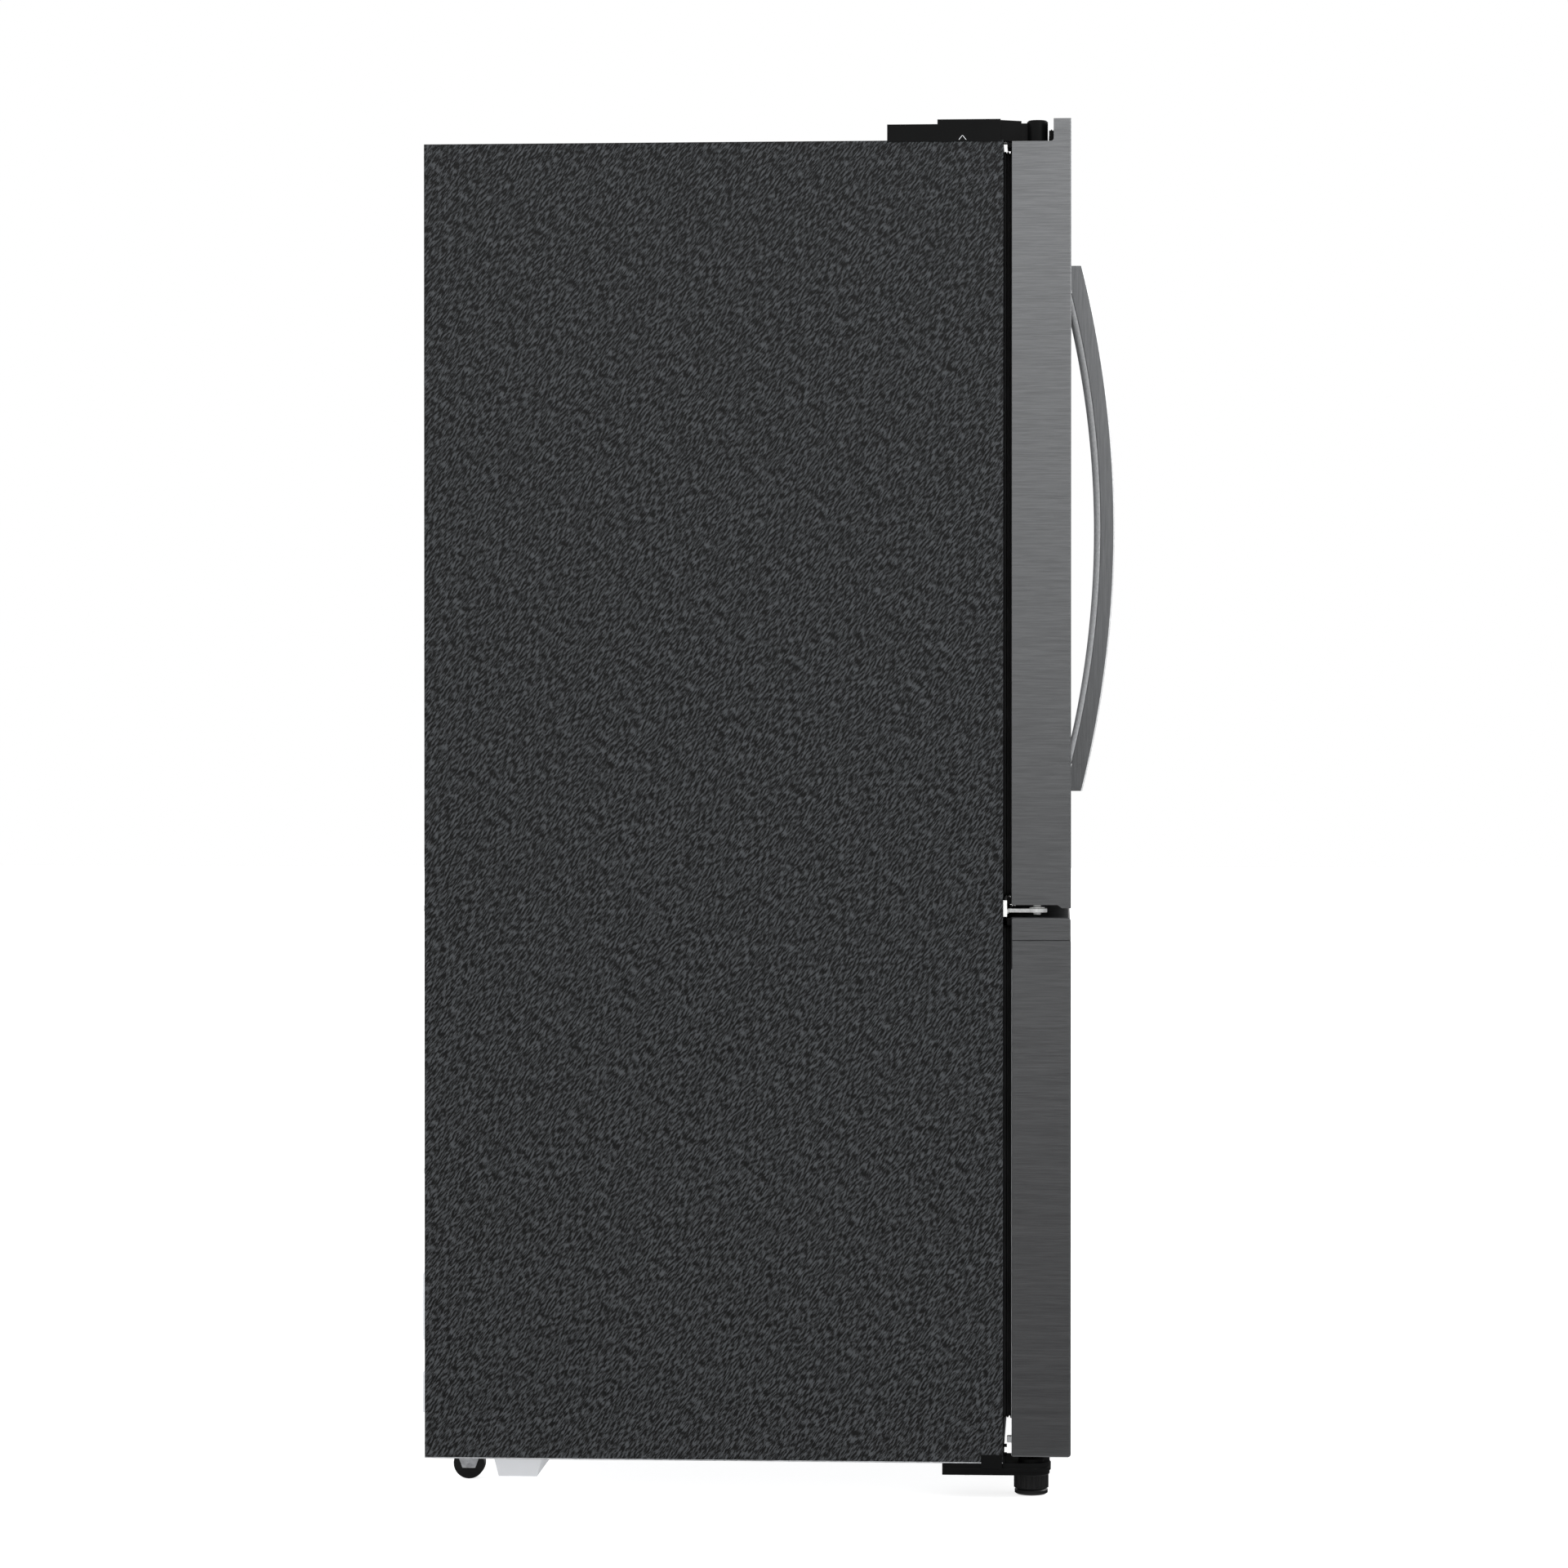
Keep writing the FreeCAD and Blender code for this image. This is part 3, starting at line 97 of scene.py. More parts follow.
def addWorld():
    world = bpy.data.worlds.new("studio")
    bpy.context.scene.world = world
    world.use_nodes = True
    tree = world.node_tree
    tree.nodes.clear()
    out = tree.nodes.new("ShaderNodeOutputWorld")
    sky = tree.nodes.new("ShaderNodeBackground")
    paper = tree.nodes.new("ShaderNodeBackground")
    paper.inputs["Color"].default_value = (1, 1, 1, 1)
    paper.inputs["Strength"].default_value = 1.0
    mix = tree.nodes.new("ShaderNodeMixShader")
    path = tree.nodes.new("ShaderNodeLightPath")
    coord = tree.nodes.new("ShaderNodeTexCoord")
    split = tree.nodes.new("ShaderNodeSeparateXYZ")
    ramp = tree.nodes.new("ShaderNodeValToRGB")
    ramp.color_ramp.interpolation = "EASE"
    tones = studio["skyTones"]
    while len(ramp.color_ramp.elements) < len(tones):
        ramp.color_ramp.elements.new(0.5)
    for element, (position, tone) in zip(ramp.color_ramp.elements, tones):
        element.position = position
        element.color = (tone, tone, tone, 1)
    scale = tree.nodes.new("ShaderNodeMapRange")
    scale.inputs["From Min"].default_value = -1
    scale.inputs["From Max"].default_value = 1
    tree.links.new(coord.outputs["Generated"], split.inputs[0])
    tree.links.new(split.outputs["Z"], scale.inputs["Value"])
    tree.links.new(scale.outputs["Result"], ramp.inputs["Fac"])
    tree.links.new(ramp.outputs["Color"], sky.inputs["Color"])
    sky.inputs["Strength"].default_value = studio["skyStrength"]
    tree.links.new(path.outputs["Is Camera Ray"], mix.inputs["Fac"])
    tree.links.new(sky.outputs[0], mix.inputs[1])
    tree.links.new(paper.outputs[0], mix.inputs[2])
    tree.links.new(mix.outputs[0], out.inputs["Surface"])


def addFloor():
    half = studio["floorSize"] / 2
    corners = [(-half, -half, 0), (half, -half, 0), (half, half, 0), (-half, half, 0)]
    mesh = bpy.data.meshes.new("floor")
    mesh.from_pydata(corners, [], [(0, 1, 2, 3)])
    floor = bpy.data.objects.new("floor", mesh)
    bpy.context.scene.collection.objects.link(floor)
    paint = bpy.data.materials.new("palePaper")
    paint.use_nodes = True
    shader = paint.node_tree.nodes["Principled BSDF"]
    shader.inputs["Base Color"].default_value = (*studio["floorColour"], 1)
    shader.inputs["Roughness"].default_value = 0.9
    shader.inputs["Specular IOR Level"].default_value = 0.1
    shader.inputs["Emission Color"].default_value = (1, 1, 1, 1)
    shader.inputs["Emission Strength"].default_value = studio["floorGlow"]
    mesh.materials.append(paint)
    floor.visible_glossy = False


bpy.context.scene.view_settings.view_transform = "Standard"
addCamera()
addWorld()
addFloor()
addSoftbox("keyBox", (-4.2, -2.4, 4.2), (-0.4, -0.2, 1.2), width=2.0, height=1.4, power=60)
addSoftbox("frontBox", (1.4, -4.6, 3.2), (0.0, -0.4, 1.0), width=2.2, height=1.8, power=70)
addSoftbox("backBox", (1.5, 4.6, 3.2), (0.0, 0.4, 0.9), width=2.2, height=1.8, power=14)
print("studio ready")


# material helpers

def newMaterial(name, colour, roughness, metallic=0.0):
    material = bpy.data.materials.new(name)
    material.use_nodes = True
    shader = material.node_tree.nodes["Principled BSDF"]
    shader.inputs["Base Color"].default_value = (*colour, 1)
    shader.inputs["Roughness"].default_value = roughness
    shader.inputs["Metallic"].default_value = metallic
    return material


# object coordinates, turned first and then stretched
def placed(material, scale, turn=(0, 0, 0)):
    tree = material.node_tree
    coord = tree.nodes.new("ShaderNodeTexCoord")
    turned = tree.nodes.new("ShaderNodeMapping")
    turned.inputs["Rotation"].default_value = [math.radians(angle) for angle in turn]
    scaled = tree.nodes.new("ShaderNodeMapping")
    scaled.inputs["Scale"].default_value = scale
    tree.links.new(coord.outputs["Object"], turned.inputs["Vector"])
    tree.links.new(turned.outputs["Vector"], scaled.inputs["Vector"])
    return scaled.outputs["Vector"]


def noise(material, scale, detail=3.0, turn=(0, 0, 0), roughness=0.55):
    tree = material.node_tree
    node = tree.nodes.new("ShaderNodeTexNoise")
    node.inputs["Scale"].default_value = 1.0
    node.inputs["Detail"].default_value = detail
    node.inputs["Roughness"].default_value = roughness
    tree.links.new(placed(material, scale, turn), node.inputs["Vector"])
    return node.outputs["Fac"]


def ramp(material, source, stops):
    tree = material.node_tree
    node = tree.nodes.new("ShaderNodeValToRGB")
    elements = node.color_ramp.elements
    while len(elements) < len(stops):
        elements.new(0.5)
    for element, (position, colour) in zip(elements, stops):
        element.position = position
        element.color = (*colour, 1) if hasattr(colour, "__len__") else (colour, colour, colour, 1)
    tree.links.new(source, node.inputs["Fac"])
    return node.outputs["Color"]


def shade(colour, factor):
    return tuple(min(1.0, channel * factor) for channel in colour)


# colour that wanders between a darker and a lighter tone
def tint(material, source, colour, low, high, edges=(0.35, 0.65)):
    stops = [(edges[0], shade(colour, low)), (edges[1], shade(colour, high))]
    shader = material.node_tree.nodes["Principled BSDF"]
    material.node_tree.links.new(ramp(material, source, stops), shader.inputs["Base Color"])


def gloss(material, source, low, high, edges=(0.3, 0.7)):
    shader = material.node_tree.nodes["Principled BSDF"]
    stops = [(edges[0], low), (edges[1], high)]
    material.node_tree.links.new(ramp(material, source, stops), shader.inputs["Roughness"])


def relief(material, source, strength, distance):
    tree = material.node_tree
    bump = tree.nodes.new("ShaderNodeBump")
    bump.inputs["Strength"].default_value = strength
    bump.inputs["Distance"].default_value = distance
    tree.links.new(source, bump.inputs["Height"])
    shader = tree.nodes["Principled BSDF"]
    if shader.inputs["Normal"].links:
        tree.links.new(shader.inputs["Normal"].links[0].from_socket, bump.inputs["Normal"])
    tree.links.new(bump.outputs["Normal"], shader.inputs["Normal"])


# finishes

charcoal = {
    "colour": (0.0165, 0.0178, 0.0192),
    "roughness": 0.40,
    "specular": 0.28,
    "grainTurn": 54,
    "grainScale": (400, 112, 450),
    "grainDepth": 0.0010,
    "reliefEdges": (0.42, 0.60),
    # tones and toneEdges: the real grain is painted from 0.12 to 3 times the paint colour in step with the
    # relief, a painted highlight on the raised streaks and painted shade in the hollows
    "tones": (0.12, 3.0),
    "toneEdges": (0.44, 0.62),
}


def charcoalPaint():
    material = newMaterial("charcoalPaint", charcoal["colour"], charcoal["roughness"])
    turn = (charcoal["grainTurn"], 0, 0)
    grain = noise(material, charcoal["grainScale"], 2.0, turn)
    flat, raised = charcoal["reliefEdges"]
    crisp = ramp(material, grain, [(flat, 0.0), (raised, 1.0)])
    # painted highlight and shade on the embossed grain: lighter where the relief rises, darker where it
    # sinks
    tint(material, grain, charcoal["colour"], *charcoal["tones"], charcoal["toneEdges"])
    relief(material, crisp, 1.0, charcoal["grainDepth"])
    gloss(material, noise(material, (5, 5, 5), 2.0), 0.36, 0.46)
    shader = material.node_tree.nodes["Principled BSDF"]
    shader.inputs["Specular IOR Level"].default_value = charcoal["specular"]
    return material


steel = {
    "colour": (0.258, 0.263, 0.270),
    "roughness": 0.25,
    "lineScale": 640,
    "lineLength": 20,
    "patchScale": 90,
    "patchLength": 2.5,
    "tones": (0.86, 1.13),
    "toneEdges": (0.36, 0.64),
    "depth": 0.00004,
}


# fine parallel lines: round the doors level with the floor, on the bars from end to end
def brushedSteel(name, alongZ=False):
    fine = steel["lineScale"]
    long = steel["lineLength"]
    scale = (fine, fine, long) if alongZ else (long, long, fine)
    patch = steel["patchScale"]
    patchLong = steel["patchLength"]
    wide = (patch, patch, patchLong) if alongZ else (patchLong, patchLong, patch)
    material = newMaterial(name, steel["colour"], steel["roughness"], 1.0)
    shader = material.node_tree.nodes["Principled BSDF"]
    lines = noise(material, scale, 4.0, roughness=0.72)
    tint(material, lines, steel["colour"], *steel["tones"], steel["toneEdges"])
    gloss(material, noise(material, wide, 2.0), steel["roughness"] - 0.012, steel["roughness"] + 0.015)
    relief(material, lines, 0.03, steel["depth"])
    shader.inputs["Anisotropic"].default_value = 0.45
    shader.inputs["Anisotropic Rotation"].default_value = 0.25
    tangent = material.node_tree.nodes.new("ShaderNodeTangent")
    tangent.direction_type = "RADIAL"
    tangent.axis = "Z"
    material.node_tree.links.new(tangent.outputs["Tangent"], shader.inputs["Tangent"])
    return material


# fine spark texture with a soft unevenness of tone and gloss
def mouldedPlastic(name, colour, roughness, specular=0.5, spread=0.10):
    material = newMaterial(name, colour, roughness)
    material.node_tree.nodes["Principled BSDF"].inputs["Specular IOR Level"].default_value = specular
    fine = noise(material, (900, 900, 900), 2.0)
    broad = noise(material, (14, 14, 14), 2.0)
    tint(material, broad, colour, 1 - spread, 1 + spread)
    gloss(material, broad, roughness - 0.05, roughness + 0.07)
    relief(material, fine, 0.5, 0.00006)
    return material


# vacuum-formed sheet: glossy, with a faint orange peel
def linerPlastic(name, colour):
    material = newMaterial(name, colour, 0.28)
    peel = noise(material, (120, 120, 120), 2.0)
    broad = noise(material, (4, 4, 4), 2.0)
    tint(material, broad, colour, 0.965, 1.02)
    gloss(material, broad, 0.24, 0.34)
    relief(material, peel, 0.35, 0.00015)
    material.node_tree.nodes["Principled BSDF"].inputs["Coat Weight"].default_value = 0.15
    return material


def clearPlastic(name, colour, roughness=0.06):
    material = newMaterial(name, colour, roughness)
    shader = material.node_tree.nodes["Principled BSDF"]
    shader.inputs["Transmission Weight"].default_value = 0.92
    shader.inputs["IOR"].default_value = 1.3
    gloss(material, noise(material, (30, 30, 30), 3.0), roughness, roughness + 0.10)
    relief(material, noise(material, (45, 45, 45), 1.0), 0.12, 0.0002)
    return material


def shelfGlass():
    colour = (0.80, 0.93, 0.89)
    material = newMaterial("shelfGlass", colour, 0.02)
    shader = material.node_tree.nodes["Principled BSDF"]
    shader.inputs["Transmission Weight"].default_value = 0.95
    shader.inputs["IOR"].default_value = 1.45
    smear = noise(material, (9, 9, 9), 4.0)
    gloss(material, smear, 0.01, 0.07)
    tint(material, smear, colour, 0.97, 1.03)
    return material


# zinc spangle: pale flakes a few millimetres across, each with its own gloss
def galvanisedSteel(name, colour, roughness=0.42):
    material = newMaterial(name, colour, roughness, 0.85)
    tree = material.node_tree
    flakes = tree.nodes.new("ShaderNodeTexVoronoi")
    flakes.inputs["Scale"].default_value = 1.0
    tree.links.new(placed(material, (160, 160, 160)), flakes.inputs["Vector"])
    split = tree.nodes.new("ShaderNodeSeparateColor")
    tree.links.new(flakes.outputs["Color"], split.inputs["Color"])
    tint(material, split.outputs["Red"], colour, 0.86, 1.10, (0.1, 0.9))
    gloss(material, split.outputs["Green"], roughness - 0.08, roughness + 0.12, (0.1, 0.9))
    relief(material, noise(material, (600, 600, 600), 2.0), 0.2, 0.00005)
    return material


# zinc-plated or rolled steel with faint rolling marks
def plainSteel(name, colour, roughness=0.3, metallic=1.0):
    material = newMaterial(name, colour, roughness, metallic)
    marks = noise(material, (25, 420, 420), 3.0)
    tint(material, marks, colour, 0.88, 1.08)
    gloss(material, marks, roughness - 0.06, roughness + 0.10)
    relief(material, marks, 0.2, 0.00004)
    return material


def gasketRubber():
    colour = (0.010, 0.0102, 0.0105)
    material = newMaterial("gasketRubber", colour, 0.62)
    material.node_tree.nodes["Principled BSDF"].inputs["Specular IOR Level"].default_value = 0.3
    bloom = noise(material, (25, 25, 25), 3.0)
    tint(material, bloom, colour, 0.8, 1.7)
    gloss(material, bloom, 0.55, 0.72)
    relief(material, noise(material, (700, 700, 700), 2.0), 0.4, 0.00006)
    return material


def foam():
    colour = (0.80, 0.70, 0.42)
    material = newMaterial("foam", colour, 0.95)
    cells = noise(material, (260, 260, 260), 3.0)
    tint(material, cells, colour, 0.8, 1.1)
    relief(material, cells, 0.6, 0.0006)
    return material


def lampDiffuser():
    colour = (0.95, 0.95, 0.93)
    material = newMaterial("lampDiffuser", colour, 0.35)
    shader = material.node_tree.nodes["Principled BSDF"]
    shader.inputs["Emission Color"].default_value = (1.0, 0.97, 0.92, 1)
    shader.inputs["Emission Strength"].default_value = 2.2
    relief(material, noise(material, (500, 40, 40), 1.0), 0.3, 0.0003)
    tint(material, noise(material, (20, 20, 20), 2.0), colour, 0.96, 1.02)
    return material


finishes = {
    "charcoal_paint": charcoalPaint(),
    "dark_stainless": brushedSteel("darkStainless"),
    "handle_stainless": brushedSteel("handleStainless", True),
    "galvanised": galvanisedSteel("galvanised", (0.62, 0.63, 0.65)),
    "zinc_plate": plainSteel("zincPlate", (0.86, 0.87, 0.86), 0.42, 0.12),
    "black_plastic": mouldedPlastic("blackPlastic", (0.0032, 0.0033, 0.0034), 0.36, 0.10),
    "dark_cap_plastic": mouldedPlastic("darkCapPlastic", (0.030, 0.031, 0.033), 0.42, 0.3),
    "pale_plastic": mouldedPlastic("palePlastic", (0.73, 0.74, 0.76), 0.5, 0.4, 0.02),
    "white_liner": linerPlastic("whiteLiner", (0.80, 0.815, 0.83)),
    "white_trim": mouldedPlastic("whiteTrim", (0.76, 0.77, 0.78), 0.30, 0.4, 0.02),
    "clear_plastic": clearPlastic("clearPlastic", (0.93, 0.96, 0.98)),
    "shelf_glass": shelfGlass(),
    "gasket_rubber": gasketRubber(),
    "insulation_foam": foam(),
    "compressor_black": mouldedPlastic("compressorBlack", (0.012, 0.012, 0.013), 0.25),
    "bare_aluminium": plainSteel("bareAluminium", (0.72, 0.73, 0.74), 0.32),
    "lamp_diffuser": lampDiffuser(),
    "slide_steel": plainSteel("slideSteel", (0.52, 0.53, 0.54), 0.28),
}

satinBlack = mouldedPlastic("satinBlack", (0.0045, 0.0046, 0.0048), 0.28, 0.5)
railPaint = mouldedPlastic("railPaint", (0.085, 0.088, 0.092), 0.38, 0.4, 0.06)
special = {
    "leveling_foot_left": satinBlack,
    "leveling_foot_right": satinBlack,
    "roller_left": satinBlack,
    "roller_right": satinBlack,
    "front_rails": railPaint,
}

for name, item in nodes.items():
    item.data.materials.clear()
    item.data.materials.append(special.get(name) or finishes[slotOf[name]])
print("finishes on", len(nodes), "nodes")


# softened edges on the nodes that stay in view

edgeWidth = {
    "rear_cover": 0.0018,
    "hinge_cover_left": 0.0016,
    "hinge_cover_right": 0.0016,
    "leg_bracket_left": 0.0008,
    "leg_bracket_right": 0.0008,
    "fresh_food_liner": 0.0040,
    "freezer_liner": 0.0040,
    "left_door_liner": 0.0045,
    "right_door_liner": 0.0045,
    "drawer_liner": 0.0045,
    "air_duct_panel": 0.0030,
    "mullion_flap": 0.0015,
    "shelf_frames": 0.0014,
    "drain_pan": 0.0010,
    "compressor": 0.0020,
    "drawer_grip": 0.0008,
    "shelf_glass": 0.0006,
}
plainEdge = 0.0004
wideEdge = 0.001
weldDistance = 0.00001
flatAngle = math.radians(0.8)
sharpAngle = math.radians(32)


def soften(item, width, segments):
    for polygon in item.data.polygons:
        polygon.use_smooth = True
    weld = item.modifiers.new("weld", "WELD")
    weld.merge_threshold = weldDistance
    flat = item.modifiers.new("flat", "DECIMATE")
    flat.decimate_type = "DISSOLVE"
    flat.angle_limit = flatAngle
    bevel = item.modifiers.new("bevel", "BEVEL")
    bevel.width = width
    bevel.segments = segments
    bevel.limit_method = "ANGLE"
    bevel.angle_limit = sharpAngle
    bevel.miter_outer = "MITER_SHARP"
    normals = item.modifiers.new("normals", "WEIGHTED_NORMAL")
    normals.keep_sharp = False


for name, item in nodes.items():
    width = edgeWidth.get(name, plainEdge)
    soften(item, width, 3 if width > wideEdge else 2)
print("edges softened")


# mesh helpers, sizes in millimetres

def addPiece(name, points, faces, slot, body, smooth=True, edge=0.0):
    mesh = bpy.data.meshes.new(name)
    mesh.from_pydata([Vector(point) / 1000 for point in points], [], faces)
    built = bmesh.new()
    built.from_mesh(mesh)
    bmesh.ops.remove_doubles(built, verts=built.verts, dist=0.000001)
    bmesh.ops.recalc_face_normals(built, faces=built.faces)
    built.to_mesh(mesh)
    built.free()
    for polygon in mesh.polygons:
        polygon.use_smooth = smooth
    mesh.materials.append(finishes[slot])
    piece = bpy.data.objects.new(name, mesh)
    bpy.context.scene.collection.objects.link(piece)
    if edge:
        bevel = piece.modifiers.new("bevel", "BEVEL")
        bevel.width = edge / 1000
        bevel.segments = 3
        bevel.limit_method = "ANGLE"
        bevel.angle_limit = sharpAngle
    if smooth:
        normals = piece.modifiers.new("normals", "WEIGHTED_NORMAL")
        normals.keep_sharp = False
    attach(piece, body)
    return piece


# several shapes gathered into one mesh
def gather(shapes):
    points, faces = [], []
    for shapePoints, shapeFaces in shapes:
        start = len(points)
        points += shapePoints
        faces += [tuple(index + start for index in face) for face in shapeFaces]
    return points, faces


def boxShape(xs, ys, zs):
    points = [(x, y, z) for z in zs for y in ys for x in xs]
    faces = [(0, 2, 3, 1), (4, 5, 7, 6), (0, 1, 5, 4), (2, 6, 7, 3), (0, 4, 6, 2), (1, 3, 7, 5)]
    return points, faces


# a closed loop of points with rounded corners
def roundedLoop(low, high, radius, steps=6):
    (x0, y0), (x1, y1) = low, high
    radius = max(0.01, min(radius, (x1 - x0) / 2, (y1 - y0) / 2))
    centres = [(x1 - radius, y1 - radius, 0), (x0 + radius, y1 - radius, 90),
               (x0 + radius, y0 + radius, 180), (x1 - radius, y0 + radius, 270)]
    loop = []
    for cx, cy, start in centres:
        for step in range(steps + 1):
            angle = math.radians(start + 90 * step / steps)
            loop.append((cx + radius * math.cos(angle), cy + radius * math.sin(angle)))
    return loop


# skin between loops that have the same number of points
def loftShape(loops, closed=False):
    count = len(loops[0])
    points = [point for loop in loops for point in loop]
    faces = []
    rows = len(loops) if closed else len(loops) - 1
    for row in range(rows):
        here, there = row * count, ((row + 1) % len(loops)) * count
        for i in range(count):
            j = (i + 1) % count
            faces.append((here + i, here + j, there + j, there + i))
    if not closed:
        faces.append(tuple(range(count))[::-1])
        faces.append(tuple(range((len(loops) - 1) * count, len(loops) * count)))
    return points, faces


pole = 0.02  # radius at the middle of a turned shape, in place of a single point


def latheShape(profile, centre, axis="z", steps=32):
    loops = []
    for radius, height in profile:
        loop = []
        for step in range(steps):
            angle = 2 * math.pi * step / steps
            a, b = radius * math.cos(angle), radius * math.sin(angle)
            offset = {"x": (height, a, b), "y": (b, height, a), "z": (a, b, height)}[axis]
            loop.append(tuple(c + o for c, o in zip(centre, offset)))
        loops.append(loop)
    return loftShape(loops)


# an open tub: rounded walls that lean outwards a little, with a rolled rim
def tubShape(xs, ys, zs, wall, corner, lean, rim, rimHeight):
    def loop(inset, z, radius):
        flat = roundedLoop((xs[0] + inset, ys[0] + inset), (xs[1] - inset, ys[1] - inset), radius)
        return [(x, y, z) for x, y in flat]

    low, high = zs
    bend = corner * 0.35
    part = bend * 0.3
    roll = 0.8
    tuckIn, tuckUp = 0.2, 0.6
    wide = corner + rim + lean
    outer = [
        loop(lean + rim + bend, low, corner - bend),
        loop(lean + rim + part, low + part, corner),
        loop(lean + rim, low + bend, corner),
        loop(rim, high - rimHeight, corner + lean),
    ]
    lip = [
        loop(tuckIn, high - rimHeight, wide),
        loop(0, high - rimHeight + tuckUp, wide),
        loop(0, high - roll, wide),
        loop(roll, high, wide),
        loop(rim + wall - roll, high, corner),
        loop(rim + wall, high - roll, corner),
    ]
    inner = [
        loop(lean + rim + wall, low + bend + wall, corner - wall),
        loop(lean + rim + wall + part, low + wall + part, corner - wall),
        loop(lean + rim + wall + bend, low + wall, corner - wall - bend),
    ]
    return loftShape(outer + lip + inner)


def mirrored(side, near, far):
    return (near, far) if side > 0 else (-far, -near)


sides = ((-1, "left"), (1, "right"))
print("helpers ready")


# seals: a foot on the door, folded bellows and the magnet strip against the cabinet

seal = {
    "doorPlane": -317.0,
    "doorX": (8, 386),
    "doorZ": (775, 1737),
    "drawerX": (-386, 386),
    "drawerZ": (102, 740),
    "corner": 6.0,
    "profile": [
        (0, 0), (0, 1.6), (3.0, 2.4), (3.0, 3.4), (0.8, 4.6), (0.8, 6.0), (3.0, 7.0), (1.0, 7.6),
        (1.0, 10.4), (1.4, 10.7), (12.6, 10.7), (13.0, 10.4),
        (13.0, 7.6), (11.0, 7.0), (13.2, 6.0), (13.2, 4.6), (11.0, 3.4), (11.0, 2.4), (14, 1.6), (14, 0),
    ],
}


def addSeal(name, node, body, xs, zs):
    loops = []
    for inset, depth in seal["profile"]:
        flat = roundedLoop((xs[0] + inset, zs[0] + inset), (xs[1] - inset, zs[1] - inset),
                           max(0.5, seal["corner"] - inset * 0.3), 5)
        loops.append([(x, seal["doorPlane"] + depth, z) for x, z in flat])
    points, faces = loftShape(loops, closed=True)
    piece = addPiece(name, points, faces, "gasket_rubber", body, smooth=False, edge=0.25)
    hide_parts(node)


for side, label in sides:
    door = label + "_door"
    addSeal(label + "DoorSeal", door + "_gasket", door, mirrored(side, *seal["doorX"]), seal["doorZ"])
addSeal("drawerSeal", "drawer_gasket", "freezer_drawer", seal["drawerX"], seal["drawerZ"])
print("seals")


# bins, drawers and baskets

bins = {
    "x": (58, 331),
    "y": (-316.4, -207.4),
    "levels": (1035, 1265, 1495),
    "height": 105,
    "tub": {"wall": 2.4, "corner": 18, "lean": 5, "rim": 2.2, "rimHeight": 7},
    "bandShares": (0.30, 0.50),
    "bandInset": 24,
    "bandY": (-214.0, -211.6),
    "bandHeight": 3,
}


def addBins(side, label):
    xs = mirrored(side, *bins["x"])
    inset = bins["bandInset"]
    shapes = []
    for level in bins["levels"]:
        shapes.append(tubShape(xs, bins["y"], (level, level + bins["height"]), **bins["tub"]))
        for share in bins["bandShares"]:
            z = level + bins["height"] * share
            zs = (z, z + bins["bandHeight"])
            shapes.append(boxShape((xs[0] + inset, xs[1] - inset), bins["bandY"], zs))
    points, faces = gather(shapes)
    piece = addPiece(label + "DoorBins", points, faces, "clear_plastic", label + "_door", edge=0.4)
    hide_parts(label + "_door_bins")


crisper = {
    "x": (6.2, 307.8),
    "y": (-184, 249),
    "z": (809, 985),
    "tub": {"wall": 2.6, "corner": 16, "lean": 5, "rim": 2.4, "rimHeight": 8},
    "pullInset": 24,
    # place from front to back, and height from the rim
    "pull": [(-184, -9), (-190, -4), (-196.4, -3), (-196.8, -22), (-194.6, -22), (-193.8, -7), (-189, -8),
             (-184, -13)],
}


def addCrisper(side, label):
    xs = mirrored(side, *crisper["x"])
    inset = crisper["pullInset"]
    rimZ = crisper["z"][1]
    shapes = [tubShape(xs, crisper["y"], crisper["z"], **crisper["tub"])]
    loops = [[(x, y, rimZ + rise) for y, rise in crisper["pull"]] for x in (xs[0] + inset, xs[1] - inset)]
    shapes.append(loftShape(loops))
    points, faces = gather(shapes)
    piece = addPiece(label + "Crisper", points, faces, "clear_plastic", "crisper_" + label, edge=0.5)
    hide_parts("crisper_" + label)


basket = {
    "x": 328,
    "y": (-284, 140),
    "z": (128, 415),
    "tub": {"wall": 3, "corner": 24, "lean": 4, "rim": 3, "rimHeight": 10},
    "ribs": 6,
    "ribStart": 40,
    "ribPitch": 36,
    "ribHeight": 4,
    "ribInset": (3.4, 6),
    "ribEnd": 40,
    "railIn": 3,
    "railOut": 22,
    "railY": (-270, 130),
    "railZ": (415.6, 419),
    "webZ": (409, 417),
}


def addBasket():
    half = basket["x"]
    front, back = basket["y"]
    thin, thick = basket["ribInset"]
    end = basket["ribEnd"]
    shapes = [tubShape((-half, half), basket["y"], basket["z"], **basket["tub"])]
    for row in range(basket["ribs"]):
        z = basket["z"][0] + basket["ribStart"] + row * basket["ribPitch"]
        zs = (z, z + basket["ribHeight"])
        for sign in (-1, 1):
            shapes.append(boxShape(mirrored(sign, half - thick, half - thin), (front + end, back - end), zs))
        shapes.append(boxShape((-half + end, half - end), (front + thin, front + thick), zs))
    root, tip = half - basket["railIn"], half + basket["railOut"]
    for sign in (-1, 1):
        shapes.append(boxShape(mirrored(sign, root, tip), basket["railY"], basket["railZ"]))
        shapes.append(boxShape(mirrored(sign, root, half), basket["railY"], basket["webZ"]))
    points, faces = gather(shapes)
    piece = addPiece("freezerBasket", points, faces, "white_trim", "freezer_drawer", edge=0.6)
    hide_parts("freezer_basket")


tray = {
    "x": 333,
    "y": (-268, 165),
    "z": (458, 550),
    "tub": {"wall": 2.6, "corner": 18, "lean": 3, "rim": 2.4, "rimHeight": 8},
    "railIn": 4,
    "railOut": 24,
    "railY": (-267, 164),
    "railZ": (470, 473.6),
}


